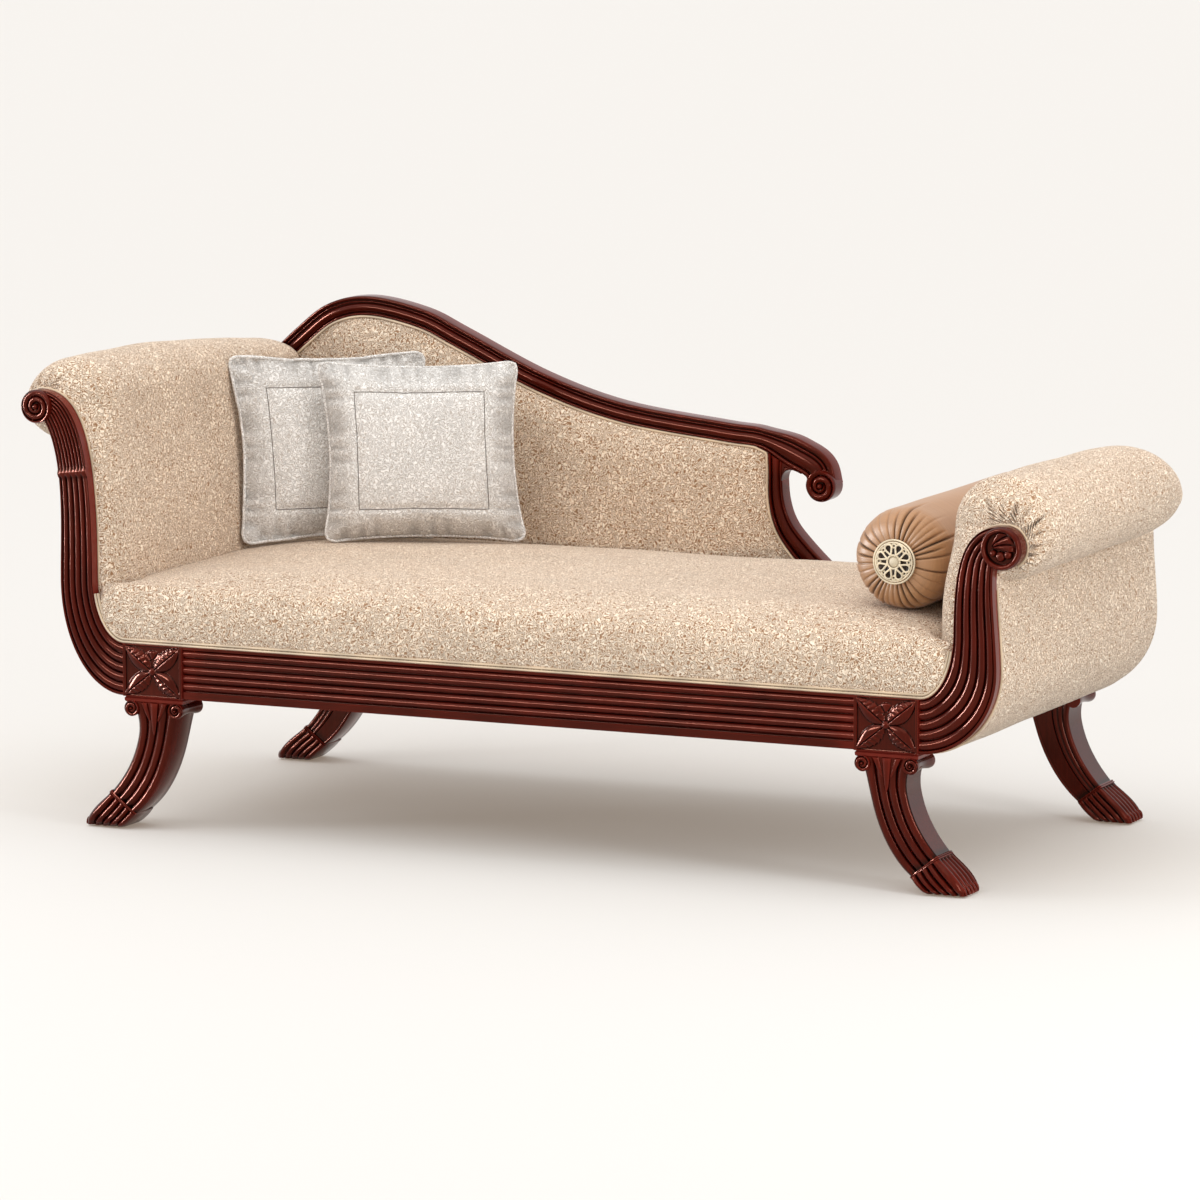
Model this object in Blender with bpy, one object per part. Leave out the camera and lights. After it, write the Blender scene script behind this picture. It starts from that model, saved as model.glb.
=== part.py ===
"""Scroll-ended chaise longue in carved mahogany, built up from its separate joined pieces.

Metres, +Z up. +X runs to the low foot end, the front faces -Y and the glides stand on z = 0.
Inside the script y = 0 is the front face of the seat rail; the whole is centred at the end.
"""
import math
from collections import namedtuple

import bmesh
import bpy
from mathutils import Vector
from mathutils.bvhtree import BVHTree

# Clearances and thin stock
GAP = 0.0003
SOFT_GAP = 0.0012
SETTLE_GAP = 0.0005
WEB_THICKNESS = 0.0025
PANEL_THICKNESS = 0.008
FACING_THICKNESS = 0.006
COVER_THICKNESS = 0.002

# Seat frame
BLOCK_SPACING = 1.472
BLOCK_WIDTH = 0.123
BLOCK_DEPTH = 0.060
BLOCK_PROUD = 0.003
FRAME_DEPTH = 0.900
RAIL_BOTTOM = 0.255
RAIL_HEIGHT = 0.098
RAIL_THICKNESS = 0.036
RAIL_LEDGE = 0.016
RAIL_FILLET = 0.010
END_RAIL_WIDTH = 0.050
STRETCHER_SPACING = 0.46
STRETCHER_WIDTH = 0.034
STRETCHER_HEIGHT = 0.045
BRACE_LEG = 0.110
BRACE_HEIGHT = 0.040
PATERA_RELIEF = 0.004

# Reeding
RAIL_REEDS = 5
POST_REEDS = 5
LEG_REEDS = 4
REED_RELIEF = 0.0045

# Sabre legs
LEG_FRONT = 0.003
LEG_DEPTH = 0.080
LEG_TOP_WIDTH = 0.075
LEG_SWEEP = 0.150
FOOT_LENGTH = 0.079
ANKLE_SETBACK = 0.057
ANKLE_WIDTH = 0.064
REAR_LEG_SWEEP = 0.162
REAR_FOOT_LENGTH = 0.070
REAR_ANKLE_SETBACK = 0.065
REAR_ANKLE_WIDTH = 0.054
ANKLE_HEIGHT = 0.072
ANKLE_BAND = 0.0025
ABACUS_HEIGHT = 0.012
CAPITAL_WIDTH = 0.122
CAPITAL_SCROLL_RADIUS = 0.0140
GLIDE_HEIGHT = 0.003
GLIDE_RADIUS = 0.018
BOLT_RADIUS = 0.004
BOLT_LENGTH = 0.090

# Arms: reach is measured outwards from the corner block
POST_DEPTH = 0.024
FOOT_ARM_SETBACK = 0.068
INNER_BEND_RISE = 0.120
HEAD_BELLY_REACH = 0.133
HEAD_BELLY_HEIGHT = 0.465
HEAD_STEM_WIDTH = 0.067
HEAD_SCROLL_REACH = 0.178
HEAD_SCROLL_HEIGHT = 0.789
HEAD_SCROLL_RADIUS = 0.031
HEAD_ROLL_REACH = 0.1444
HEAD_ROLL_HEIGHT = 0.795
HEAD_ROLL_HALF_WIDTH = 0.088
HEAD_ROLL_HALF_HEIGHT = 0.080
FOOT_BELLY_REACH = 0.146
FOOT_BELLY_HEIGHT = 0.407
FOOT_STEM_WIDTH = 0.082
FOOT_SCROLL_REACH = 0.155
FOOT_SCROLL_HEIGHT = 0.632
FOOT_SCROLL_RADIUS = 0.038
FOOT_ROLL_REACH = 0.1324
FOOT_ROLL_HEIGHT = 0.6575
FOOT_ROLL_HALF_WIDTH = 0.100
FOOT_ROLL_HALF_HEIGHT = 0.0925
HEAD_PAD_CROWN = 0.038
HEAD_PAD_DROOP = 0.040
FOOT_PAD_CROWN = 0.052
FOOT_PAD_DROOP = 0.016
ARM_PAD_REBATE = 0.014
ARM_PAD_ROUND = 0.075
FOOT_PAD_REAR_ROUND = 0.150
ARM_RAIL_WIDTH = 0.022
ARM_RAIL_HEIGHT = 0.034

# Back: the crest falls from a hump near the head to a scroll past the middle
BACK_THICKNESS = 0.0375
CREST_RISE = 0.554
CREST_WIDTH = 0.038
CREST_SCROLL_X = 0.249
CREST_SCROLL_HEIGHT = 0.603
CREST_SCROLL_RADIUS = 0.030
STILE_WIDTH = 0.030
STILE_TOP_INSET = 0.097
STILE_FOOT_RUN = 0.190
BACK_RAIL_HEIGHT = 0.038
BACK_PAD_CROWN = 0.024
BACK_PAD_DEPTH = 0.022
BACK_CLEARANCE = 0.0025

# Seat upholstery
SEAT_EDGE_HEIGHT = 0.108
SEAT_HEAD_CROWN = 0.029
SEAT_FOOT_CROWN = 0.038
SEAT_NOSE = 0.021
SEAT_FRONT_ROLL = 0.130
SEAT_HEAD_FULLNESS = 6
SEAT_FOOT_FULLNESS = 14
SEAT_REAR_FALL = 0.380

# Loose cushions and bolster
PILLOW_WIDTH = 0.385
PILLOW_BACK_CROWN = 0.034
PILLOW_STITCH_INSET = 0.070
RIGHT_PILLOW_HEIGHT = 0.346
RIGHT_PILLOW_CROWN = 0.056
RIGHT_PILLOW_TURN = 26.0
RIGHT_PILLOW_LEAN = 9.0
LEFT_PILLOW_HEIGHT = 0.362
LEFT_PILLOW_CROWN = 0.045
LEFT_PILLOW_TURN = 38.0
LEFT_PILLOW_LEAN = 6.0
LEFT_PILLOW_STANDOFF = 0.050
PILLOW_SPACING = 0.012
PILLOW_SHIFT = 0.160
BOLSTER_RADIUS = 0.092
BOLSTER_LENGTH = 0.690
BOLSTER_SETBACK = 0.085
BOLSTER_PLEATS = 24
ROSETTE_RADIUS = 0.037
ROSETTE_THICKNESS = 0.007

RAIL_TOP = RAIL_BOTTOM + RAIL_HEIGHT
BLOCK_X = BLOCK_SPACING / 2
BLOCK_OUTER = BLOCK_X + BLOCK_WIDTH / 2
BLOCK_INNER = BLOCK_X - BLOCK_WIDTH / 2
BACK_FRONT = FRAME_DEPTH - BACK_THICKNESS
LEG_TOP = RAIL_BOTTOM - GAP
BEND_STEPS = 9
STEM_STEPS = 14
PAD_STEPS = 5
ROLL_STEPS = 13
DOME_SHARES = (0.0, 0.06, 0.22, 0.55, 1.0)

Cushion = namedtuple("Cushion", "name height crown turn lean")
RIGHT_CUSHION = Cushion(
    "right_pillow",
    RIGHT_PILLOW_HEIGHT,
    RIGHT_PILLOW_CROWN,
    math.radians(RIGHT_PILLOW_TURN),
    math.radians(RIGHT_PILLOW_LEAN),
)
LEFT_CUSHION = Cushion(
    "left_pillow",
    LEFT_PILLOW_HEIGHT,
    LEFT_PILLOW_CROWN,
    math.radians(LEFT_PILLOW_TURN),
    math.radians(LEFT_PILLOW_LEAN),
)
Leg = namedtuple("Leg", "sweep foot setback ankle")
FRONT_LEG = Leg(LEG_SWEEP, FOOT_LENGTH, ANKLE_SETBACK, ANKLE_WIDTH)
REAR_LEG = Leg(REAR_LEG_SWEEP, REAR_FOOT_LENGTH, REAR_ANKLE_SETBACK, REAR_ANKLE_WIDTH)

Arm = namedtuple("Arm", "name side rear belly stem scroll scroll_radius roll roll_half crown droop")
HEAD = Arm(
    "left",
    -1,
    FRAME_DEPTH,
    (HEAD_BELLY_REACH, HEAD_BELLY_HEIGHT),
    HEAD_STEM_WIDTH,
    (HEAD_SCROLL_REACH, HEAD_SCROLL_HEIGHT),
    HEAD_SCROLL_RADIUS,
    (HEAD_ROLL_REACH, HEAD_ROLL_HEIGHT),
    (HEAD_ROLL_HALF_WIDTH, HEAD_ROLL_HALF_HEIGHT),
    HEAD_PAD_CROWN,
    HEAD_PAD_DROOP,
)
FOOT = Arm(
    "right",
    1,
    FRAME_DEPTH - FOOT_ARM_SETBACK,
    (FOOT_BELLY_REACH, FOOT_BELLY_HEIGHT),
    FOOT_STEM_WIDTH,
    (FOOT_SCROLL_REACH, FOOT_SCROLL_HEIGHT),
    FOOT_SCROLL_RADIUS,
    (FOOT_ROLL_REACH, FOOT_ROLL_HEIGHT),
    (FOOT_ROLL_HALF_WIDTH, FOOT_ROLL_HALF_HEIGHT),
    FOOT_PAD_CROWN,
    FOOT_PAD_DROOP,
)


def clear_scene():
    for old in list(bpy.data.objects):
        bpy.data.objects.remove(old, do_unlink=True)


def finish(name, colour, roughness, metallic=0.0):
    """Principled material with one colour."""
    material = bpy.data.materials.new(name)
    material.use_nodes = True
    shader = material.node_tree.nodes["Principled BSDF"]
    shader.inputs["Base Color"].default_value = (*colour, 1.0)
    shader.inputs["Roughness"].default_value = roughness
    shader.inputs["Metallic"].default_value = metallic
    return material


def make(name, points, faces, material):
    """Closed mesh object with its faces turned outwards."""
    mesh = bpy.data.meshes.new(name)
    mesh.from_pydata(points, [], faces)
    work = bmesh.new()
    work.from_mesh(mesh)
    bmesh.ops.recalc_face_normals(work, faces=work.faces)
    if work.calc_volume(signed=True) < 0:
        bmesh.ops.reverse_faces(work, faces=work.faces)
    work.to_mesh(mesh)
    work.free()
    mesh.shade_smooth()
    mesh.set_sharp_from_angle(angle=math.radians(35))
    mesh.materials.append(material)
    obj = bpy.data.objects.new(name, mesh)
    bpy.context.collection.objects.link(obj)
    return obj


def loft(name, rings, material):
    """Skin over closed rings of equal length, with a cap at each end."""
    count = len(rings[0])
    points = [point for ring in rings for point in ring]
    faces = []
    for row in range(len(rings) - 1):
        for k in range(count):
            a = row * count + k
            b = row * count + (k + 1) % count
            faces.append((a, b, b + count, a + count))
    last = (len(rings) - 1) * count
    faces.append(tuple(range(count)))
    faces.append(tuple(range(last, last + count)))
    return make(name, points, faces, material)


def box(name, low, high, material, edge=0.0):
    """Rectangular block between two corners, its arrises eased by a small bevel."""
    work = bmesh.new()
    bmesh.ops.create_cube(work, size=1.0)
    for vert in work.verts:
        for axis in range(3):
            centre = (low[axis] + high[axis]) / 2
            vert.co[axis] = centre + vert.co[axis] * (high[axis] - low[axis])
    if edge:
        bmesh.ops.bevel(work, geom=work.edges[:], offset=edge, segments=1, affect="EDGES")
    mesh = bpy.data.meshes.new(name)
    work.to_mesh(mesh)
    work.free()
    mesh.materials.append(material)
    obj = bpy.data.objects.new(name, mesh)
    bpy.context.collection.objects.link(obj)
    return obj


def combine(obj, tool, operation="UNION"):
    """Boolean of a piece with a shaping solid that is left out of the model."""
    tool.hide_render = True
    tool.display_type = "WIRE"
    modifier = obj.modifiers.new(tool.name, "BOOLEAN")
    modifier.operation = operation
    modifier.object = tool
    modifier.solver = "EXACT"


def mix(a, b, share):
    return tuple(p + (q - p) * share for p, q in zip(a, b))


def bezier(p0, p1, p2, p3, steps):
    points = []
    for k in range(steps + 1):
        t = k / steps
        s = 1 - t
        weights = (s ** 3, 3 * s * s * t, 3 * s * t * t, t ** 3)
        points.append(tuple(sum(w * p[i] for w, p in zip(weights, (p0, p1, p2, p3))) for i in (0, 1)))
    return points


def quarter(start, end, steps):
    """Quarter ellipse that leaves start level and reaches end upright."""
    points = []
    for k in range(steps + 1):
        angle = math.pi / 2 * k / steps
        x = start[0] + (end[0] - start[0]) * math.sin(angle)
        z = end[1] - (end[1] - start[1]) * math.cos(angle)
        points.append((x, z))
    return points


def smooth_line(controls, steps):
    """Curve through the control points, a few steps to each stretch."""
    ends = [mix(controls[1], controls[0], 2.0)] + list(controls) + [mix(controls[-2], controls[-1], 2.0)]
    points = [controls[0]]
    for k in range(1, len(ends) - 2):
        a, b, c, d = ends[k - 1:k + 3]
        out = tuple(b[i] + (c[i] - a[i]) / 6 for i in (0, 1))
        back = tuple(c[i] - (d[i] - b[i]) / 6 for i in (0, 1))
        points += bezier(b, out, back, c, steps)[1:]
    return points


def offset_line(line, distance):
    """Parallel line on the left of the way the line runs; distance may be a function of share and point."""
    moved = []
    last = len(line) - 1
    for k, point in enumerate(line):
        a = line[max(k - 1, 0)]
        b = line[min(k + 1, last)]
        run = (b[0] - a[0], b[1] - a[1])
        length = math.hypot(*run)
        step = distance(k / last, point) if callable(distance) else distance
        moved.append((point[0] - run[1] / length * step, point[1] + run[0] / length * step))
    return moved


def value_at(line, key, want, other):
    """Coordinate of a line, taken where another coordinate has a wanted value."""
    ordered = sorted(line, key=lambda point: point[key])
    if want <= ordered[0][key]:
        return ordered[0][other]
    for a, b in zip(ordered, ordered[1:]):
        if want <= b[key]:
            span = b[key] - a[key]
            share = (want - a[key]) / span if span else 0.0
            return a[other] + (b[other] - a[other]) * share
    return ordered[-1][other]


def reeds(count, margin=0.0):
    """Share across a reeded face and depth below its crowns, from edge to edge."""
    pairs = [(0.0, 0.25)] if margin else []
    width = (1 - 2 * margin) / count
    pairs.append((margin, 1.0))
    for k in range(count):
        start = margin + k * width
        for share, depth in ((0.26, 0.06), (0.74, 0.06), (1.0, 1.0)):
            pairs.append((start + share * width, depth))
    if margin:
        pairs.append((1.0, 0.25))
    return pairs


def ribbon(outer, inner, front, back, place):
    """Rings across a band between two edge lines, with a worked front and a worked back."""
    rings = []
    for edge_a, edge_b in zip(outer, inner):
        ring = []
        for share, y in front:
            x, z = mix(edge_a, edge_b, share)
            ring.append(place(x, y, z))
        for share, y in reversed(back):
            x, z = mix(edge_a, edge_b, share)
            ring.append(place(x, y, z))
        rings.append(ring)
    return rings


def flat(y):
    return [(0.0, y), (1.0, y)]


def world(x, y, z):
    return (x, y, z)


def arm_place(arm):
    def place(reach, y, z):
        return (arm.side * (BLOCK_OUTER + reach), y, z)
    return place


def outer_edge(arm):
    """Outside S of an arm, from under the block to the neck of its scroll."""
    angle = math.radians(-118)
    neck = tuple(c + 0.9 * arm.scroll_radius * part
                 for c, part in zip(arm.scroll, (math.cos(angle), math.sin(angle))))
    rise = neck[1] - arm.belly[1]
    hollow = 0.1 * arm.belly[0]
    pull = (arm.belly[0], arm.belly[1] + 0.3 * rise)
    neck_pull = (arm.belly[0] - hollow, arm.belly[1] + 0.75 * rise)
    stem = bezier(arm.belly, pull, neck_pull, neck, STEM_STEPS)
    return quarter((GAP, RAIL_BOTTOM), arm.belly, BEND_STEPS) + stem[1:]


def beside_block(line):
    """Keeps a line of an arm clear of the corner block."""
    return [(max(reach, GAP), z) for reach, z in line]


def inner_bend(arm):
    return (arm.belly[0] - arm.stem, RAIL_TOP + INNER_BEND_RISE)


def inner_stem(arm, steps):
    """Upper part of an arm's inside line, from the bend to the crown of the scroll."""
    bend = inner_bend(arm)
    top = (arm.scroll[0], arm.scroll[1] + 0.985 * arm.scroll_radius)
    pull = (bend[0], bend[1] + 0.57 * (top[1] - bend[1]))
    top_pull = (bend[0] + 0.12 * (top[0] - bend[0]), top[1])
    return bezier(bend, pull, top_pull, top, steps)


def inner_edge(arm):
    """Inside S of an arm, from the rail's top to the crown of its scroll."""
    bend = inner_bend(arm)
    return quarter((GAP, RAIL_TOP), bend, BEND_STEPS) + inner_stem(arm, STEM_STEPS)[1:]


def disc(name, place, centre, profile, sides, material):
    """Turned solid on an axis along Y; profile pairs are (y, radius)."""
    rings = []
    for y, radius in profile:
        ring = []
        for k in range(sides):
            angle = 2 * math.pi * k / sides
            x = centre[0] + radius * math.cos(angle)
            z = centre[1] + radius * math.sin(angle)
            ring.append(place(x, y, z))
        rings.append(ring)
    return loft(name, rings, material)


def scroll_band(name, place, centre, radius, face, material):
    """Raised band that winds one and a half turns in to the eye of a volute."""
    steps = 22
    rings = []
    for k in range(steps + 1):
        share = k / steps
        angle = math.pi / 2 - 3 * math.pi * share
        middle = radius * (0.80 - 0.52 * share)
        half = radius * (0.13 - 0.05 * share)
        ring = []
        for across, height in ((-1.0, -0.002), (-0.7, 0.004), (0.7, 0.004), (1.0, -0.002)):
            reach = middle + across * half
            x = centre[0] + reach * math.cos(angle)
            z = centre[1] + reach * math.sin(angle)
            ring.append(place(x, face - height, z))
        rings.append(ring)
    return loft(name, rings, material)


def volute(obj, place, centre, radius, face, back, material):
    """Adds a carved scroll end to a piece: drum, winding band and eye."""
    rim = 0.003
    drum = [(back, radius), (face, radius), (face - rim, radius * 0.94)]
    combine(obj, disc(obj.name + "_drum", place, centre, drum, 24, material))
    combine(obj, scroll_band(obj.name + "_band", place, centre, radius, face - rim, material))
    eye = [(face, radius * 0.17), (face - 0.007, radius * 0.17), (face - 0.010, radius * 0.09)]
    combine(obj, disc(obj.name + "_eye", place, centre, eye, 10, material))


def front_rail(wood):
    """Reeded rail between the front blocks, with a ledge for the webbing behind."""
    x = BLOCK_INNER - GAP
    fillet = RAIL_FILLET / RAIL_HEIGHT
    ledge = RAIL_TOP - WEB_THICKNESS - 2 * GAP
    section = [(depth * REED_RELIEF, RAIL_BOTTOM + share * RAIL_HEIGHT)
               for share, depth in reeds(RAIL_REEDS, fillet)]
    section += [(RAIL_THICKNESS - RAIL_LEDGE, RAIL_TOP), (RAIL_THICKNESS - RAIL_LEDGE, ledge)]
    section += [(RAIL_THICKNESS, ledge), (RAIL_THICKNESS, RAIL_BOTTOM)]
    rings = [[(end, y, z) for y, z in section] for end in (-x, x)]
    loft("front_seat_rail", rings, wood)


def rear_rail(wood):
    """Plain rail between the rear blocks."""
    x = BLOCK_INNER - GAP
    ledge = RAIL_TOP - WEB_THICKNESS - 2 * GAP
    front = FRAME_DEPTH - RAIL_THICKNESS
    section = [(FRAME_DEPTH - 0.004, RAIL_BOTTOM), (FRAME_DEPTH, RAIL_BOTTOM + 0.004)]
    section += [(FRAME_DEPTH, RAIL_TOP), (front + RAIL_LEDGE, RAIL_TOP), (front + RAIL_LEDGE, ledge)]
    section += [(front, ledge), (front, RAIL_BOTTOM)]
    loft("rear_seat_rail", [[(end, y, z) for y, z in section] for end in (-x, x)], wood)


def leaf(name, centre, angle, face, wood):
    """Pointed leaf with a raised midrib, laid on a carved block."""
    length = 0.43 * math.hypot(BLOCK_WIDTH, RAIL_HEIGHT)
    start = 0.10 * length
    steps = 6
    rings = []
    for k in range(steps + 1):
        share = k / steps
        along = start + (length - start) * share
        half = 0.004 + 0.21 * length * math.sin(math.pi * min(share * 0.93 + 0.05, 1.0))
        rise = PATERA_RELIEF * (0.35 + 0.65 * math.sin(math.pi * min(share * 0.9 + 0.08, 1.0)))
        section = ((-1.0, -0.002), (-0.75, 0.5 * rise), (0.0, rise), (0.75, 0.5 * rise), (1.0, -0.002))
        ring = []
        for across, height in section:
            x = centre[0] + along * math.cos(angle) - across * half * math.sin(angle)
            z = centre[1] + along * math.sin(angle) + across * half * math.cos(angle)
            ring.append((x, face - height, z))
        rings.append(ring)
    return loft(name, rings, wood)


def corner_block(name, side, low_y, high_y, carved, wood):
    """Block that takes rail, arm post and leg; the front ones carry a four-leaf patera."""
    low = (side * BLOCK_X - BLOCK_WIDTH / 2, low_y, RAIL_BOTTOM)
    high = (side * BLOCK_X + BLOCK_WIDTH / 2, high_y, RAIL_TOP)
    block = box(name, low, high, wood, 0.0015)
    if carved:
        centre = (side * BLOCK_X, (RAIL_BOTTOM + RAIL_TOP) / 2)
        slope = math.atan2(RAIL_HEIGHT, BLOCK_WIDTH)
        for k, angle in enumerate((slope, math.pi - slope, math.pi + slope, -slope)):
            combine(block, leaf(f"{name}_leaf_{k}", centre, angle, low_y, wood))
        crown = low_y - PATERA_RELIEF
        boss = [(low_y + 0.002, 0.0095), (crown, 0.0095), (crown - 0.002, 0.005)]
        combine(block, disc(name + "_boss", world, centre, boss, 12, wood))
    return block


def leg_lines(leg):
    """Outer and inner edges of a sabre leg, from capital to floor, offset from the block's middle."""
    top = LEG_TOP - ABACUS_HEIGHT / 2
    half = LEG_TOP_WIDTH / 2
    base = GLIDE_HEIGHT + GAP
    tip = leg.sweep
    heel = leg.sweep - leg.foot
    ankle_out = (tip - leg.setback, ANKLE_HEIGHT)
    lean = math.radians(39)
    ankle_in = (ankle_out[0] - leg.ankle * math.cos(lean), ankle_out[1] - leg.ankle * math.sin(lean))
    fall = top - ANKLE_HEIGHT
    out_pull = (half - 0.008, top - 0.40 * fall)
    out_ankle_pull = (ankle_out[0] - 0.048, ankle_out[1] + 0.30 * fall)
    in_pull = (-half - 0.004, top - 0.42 * fall)
    in_ankle_pull = (ankle_in[0] - 0.060, ankle_in[1] + 0.27 * fall)
    outer = bezier((half - 0.006, top), out_pull, out_ankle_pull, ankle_out, 8)
    inner = bezier((-half - 0.004, top), in_pull, in_ankle_pull, ankle_in, 8)
    toe_top = (ankle_out[0] + 0.35 * leg.setback, 0.72 * ANKLE_HEIGHT)
    toe_tip = (tip - 0.11 * leg.setback, base + 0.38 * ANKLE_HEIGHT)
    outer += bezier(ankle_out, toe_top, toe_tip, (tip, base), 5)[1:]
    pad = (ankle_in[0] + 0.008, ankle_in[1] - 0.012)
    inner += bezier(ankle_in, pad, (heel - 0.006, base + 0.006), (heel, base), 5)[1:]
    return outer, inner


def leg_rings(leg, side, front, way):
    """Sabre leg with ankle band and toes, in rings from capital to floor; way 1 reeds its front."""
    outer, inner = leg_lines(leg)
    pattern = reeds(LEG_REEDS)
    rings = []
    ankle = 8
    last = len(outer) - 1
    for k in range(last + 1):
        a = outer[k]
        b = inner[k]
        if k <= ankle:
            half = LEG_DEPTH / 2 * (1 - 0.10 * k / ankle)
            relief = REED_RELIEF
        else:
            toes = (k - ankle) / (last - ankle)
            half = LEG_DEPTH / 2 * (0.90 + 0.20 * math.sin(math.pi * min(0.75 * toes + 0.1, 1)))
            relief = REED_RELIEF * (1.0 + 0.9 * math.sin(math.pi * 0.8 * toes))
        middle = front + LEG_DEPTH / 2
        if k == ankle:
            steps = ((-0.35, 0.0), (-0.30, 1.0), (0.10, 1.0), (0.15, 0.0))
        else:
            steps = ((0.0, 0.0),)
        for shift, swell in steps:
            along_a = mix(a, outer[k + 1], shift) if shift > 0 else mix(a, outer[k - 1], -shift)
            along_b = mix(b, inner[k + 1], shift) if shift > 0 else mix(b, inner[k - 1], -shift)
            span = math.dist(along_a, along_b)
            grow = ANKLE_BAND * swell / span
            edge_a = mix(along_a, along_b, -grow)
            edge_b = mix(along_a, along_b, 1 + grow)
            cut = relief * (1 - 0.8 * swell)
            reach = half + ANKLE_BAND * swell
            ring = []
            for share, depth in pattern:
                x, z = mix(edge_a, edge_b, share)
                ring.append((side * (BLOCK_X + x), middle - way * (reach - depth * cut), z))
            for share, depth in ((1.0, 1.0), (0.9, 0.0), (0.1, 0.0), (0.0, 1.0)):
                x, z = mix(edge_a, edge_b, share)
                ring.append((side * (BLOCK_X + x), middle + way * (reach - depth * cut), z))
            rings.append(ring)
    return rings


def sabre_leg(name, shape, side, front, way, wood):
    """Leg with its capital: a plate on two scrolls that run from front to back."""
    leg = loft(name, leg_rings(shape, side, front, way), wood)
    half = CAPITAL_WIDTH / 2
    middle = front + LEG_DEPTH / 2
    low = (side * BLOCK_X - half, front - 0.002, LEG_TOP - ABACUS_HEIGHT)
    high = (side * BLOCK_X + half, front + LEG_DEPTH + 0.002, LEG_TOP)
    combine(leg, box(name + "_abacus", low, high, wood, 0.002))
    r = CAPITAL_SCROLL_RADIUS
    reach = LEG_DEPTH / 2
    half_profile = ((0.3, 0.72), (0.75, 0.95), (0.97, 1.0), (1.0, 0.55))
    profile = [(-share, size) for share, size in reversed(half_profile)] + list(half_profile)
    turned = [(middle + share * reach, r * size) for share, size in profile]
    for end in (-1, 1):
        centre = (side * BLOCK_X + end * (half - r), LEG_TOP - ABACUS_HEIGHT - 0.75 * r)
        combine(leg, disc(f"{name}_scroll_{end}", world, centre, turned, 14, wood))
    return leg


def upright(name, centre, profile, sides, material):
    """Turned solid on an upright axis; profile pairs are (z, radius)."""
    rings = []
    for z, radius in profile:
        ring = []
        for k in range(sides):
            angle = 2 * math.pi * k / sides
            ring.append((centre[0] + radius * math.cos(angle), centre[1] + radius * math.sin(angle), z))
        rings.append(ring)
    return loft(name, rings, material)


def leg_bolt(name, centre, wood_pieces, steel):
    """Upright bolt that pulls a leg up to its block, in a bore in both."""
    foot = RAIL_BOTTOM - BOLT_LENGTH / 2
    head = RAIL_BOTTOM + BOLT_LENGTH / 2
    upright(name, centre, ((foot, BOLT_RADIUS), (head, BOLT_RADIUS)), 10, steel)
    wide = BOLT_RADIUS + GAP
    bore = upright(name + "_bore", centre, ((foot - GAP, wide), (head + GAP, wide)), 10, steel)
    for piece in wood_pieces:
        combine(piece, bore, "DIFFERENCE")


def corner(side, end, wood, steel, plastic):
    """Block, leg, bolt and glide at one corner of the seat frame."""
    front = end == "front"
    label = f"{end}_{'left' if side < 0 else 'right'}"
    block_y = -BLOCK_PROUD if front else FRAME_DEPTH - BLOCK_DEPTH
    leg_y = LEG_FRONT if front else FRAME_DEPTH - LEG_FRONT - LEG_DEPTH
    bolt_y = BLOCK_DEPTH - BLOCK_PROUD - 0.020 if front else FRAME_DEPTH - BLOCK_DEPTH + 0.020
    block = corner_block(label + "_block", side, block_y, block_y + BLOCK_DEPTH, front, wood)
    shape = FRONT_LEG if front else REAR_LEG
    leg = sabre_leg(label + "_leg", shape, side, leg_y, 1 if front else -1, wood)
    leg_bolt(label + "_leg_bolt", (side * BLOCK_X, bolt_y), (block, leg), steel)
    foot = (side * (BLOCK_X + shape.sweep - shape.foot / 2), leg_y + LEG_DEPTH / 2)
    profile = ((0.0, 0.9 * GLIDE_RADIUS), (0.3 * GLIDE_HEIGHT, GLIDE_RADIUS), (GLIDE_HEIGHT, GLIDE_RADIUS))
    upright(label + "_foot_glide", foot, profile, 18, plastic)


def seat_frame(wood, beech, steel, plastic):
    """Rails, corners and the inner members that tie them."""
    front_rail(wood)
    rear_rail(wood)
    ledge = RAIL_TOP - WEB_THICKNESS - 2 * GAP
    front_wall = RAIL_THICKNESS + GAP
    rear_wall = FRAME_DEPTH - RAIL_THICKNESS - GAP
    for side, hand in ((-1, "left"), (1, "right")):
        for end in ("front", "rear"):
            corner(side, end, wood, steel, plastic)
        half = END_RAIL_WIDTH / 2
        low = (side * BLOCK_X - half, BLOCK_DEPTH - BLOCK_PROUD + GAP, RAIL_BOTTOM)
        high = (side * BLOCK_X + half, FRAME_DEPTH - BLOCK_DEPTH - GAP, ledge)
        box(hand + "_end_rail", low, high, beech)
        x = side * STRETCHER_SPACING / 2
        low = (x - STRETCHER_WIDTH / 2, front_wall, ledge - GAP - STRETCHER_HEIGHT)
        high = (x + STRETCHER_WIDTH / 2, rear_wall, ledge - GAP)
        box(hand + "_seat_stretcher", low, high, beech)
        for end, wall, inward in (("front", front_wall, 1), ("rear", rear_wall, -1)):
            near = side * (BLOCK_INNER - 2 * GAP)
            far = near - side * BRACE_LEG
            plan = ((near, wall), (far, wall), (near, wall + inward * BRACE_LEG))
            low = RAIL_BOTTOM + 0.006
            rings = [[(x, y, z) for x, y in plan] for z in (low, low + BRACE_HEIGHT)]
            loft(f"{end}_{hand}_corner_brace", rings, beech)


def plain_drum(obj, arm, front, back, material):
    """Adds a plain round end to a piece, a touch thinner than the piece."""
    profile = [(front + 0.0008, arm.scroll_radius), (back - 0.0008, arm.scroll_radius)]
    combine(obj, disc(obj.name + "_drum", arm_place(arm), arm.scroll, profile, 20, material))


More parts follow.
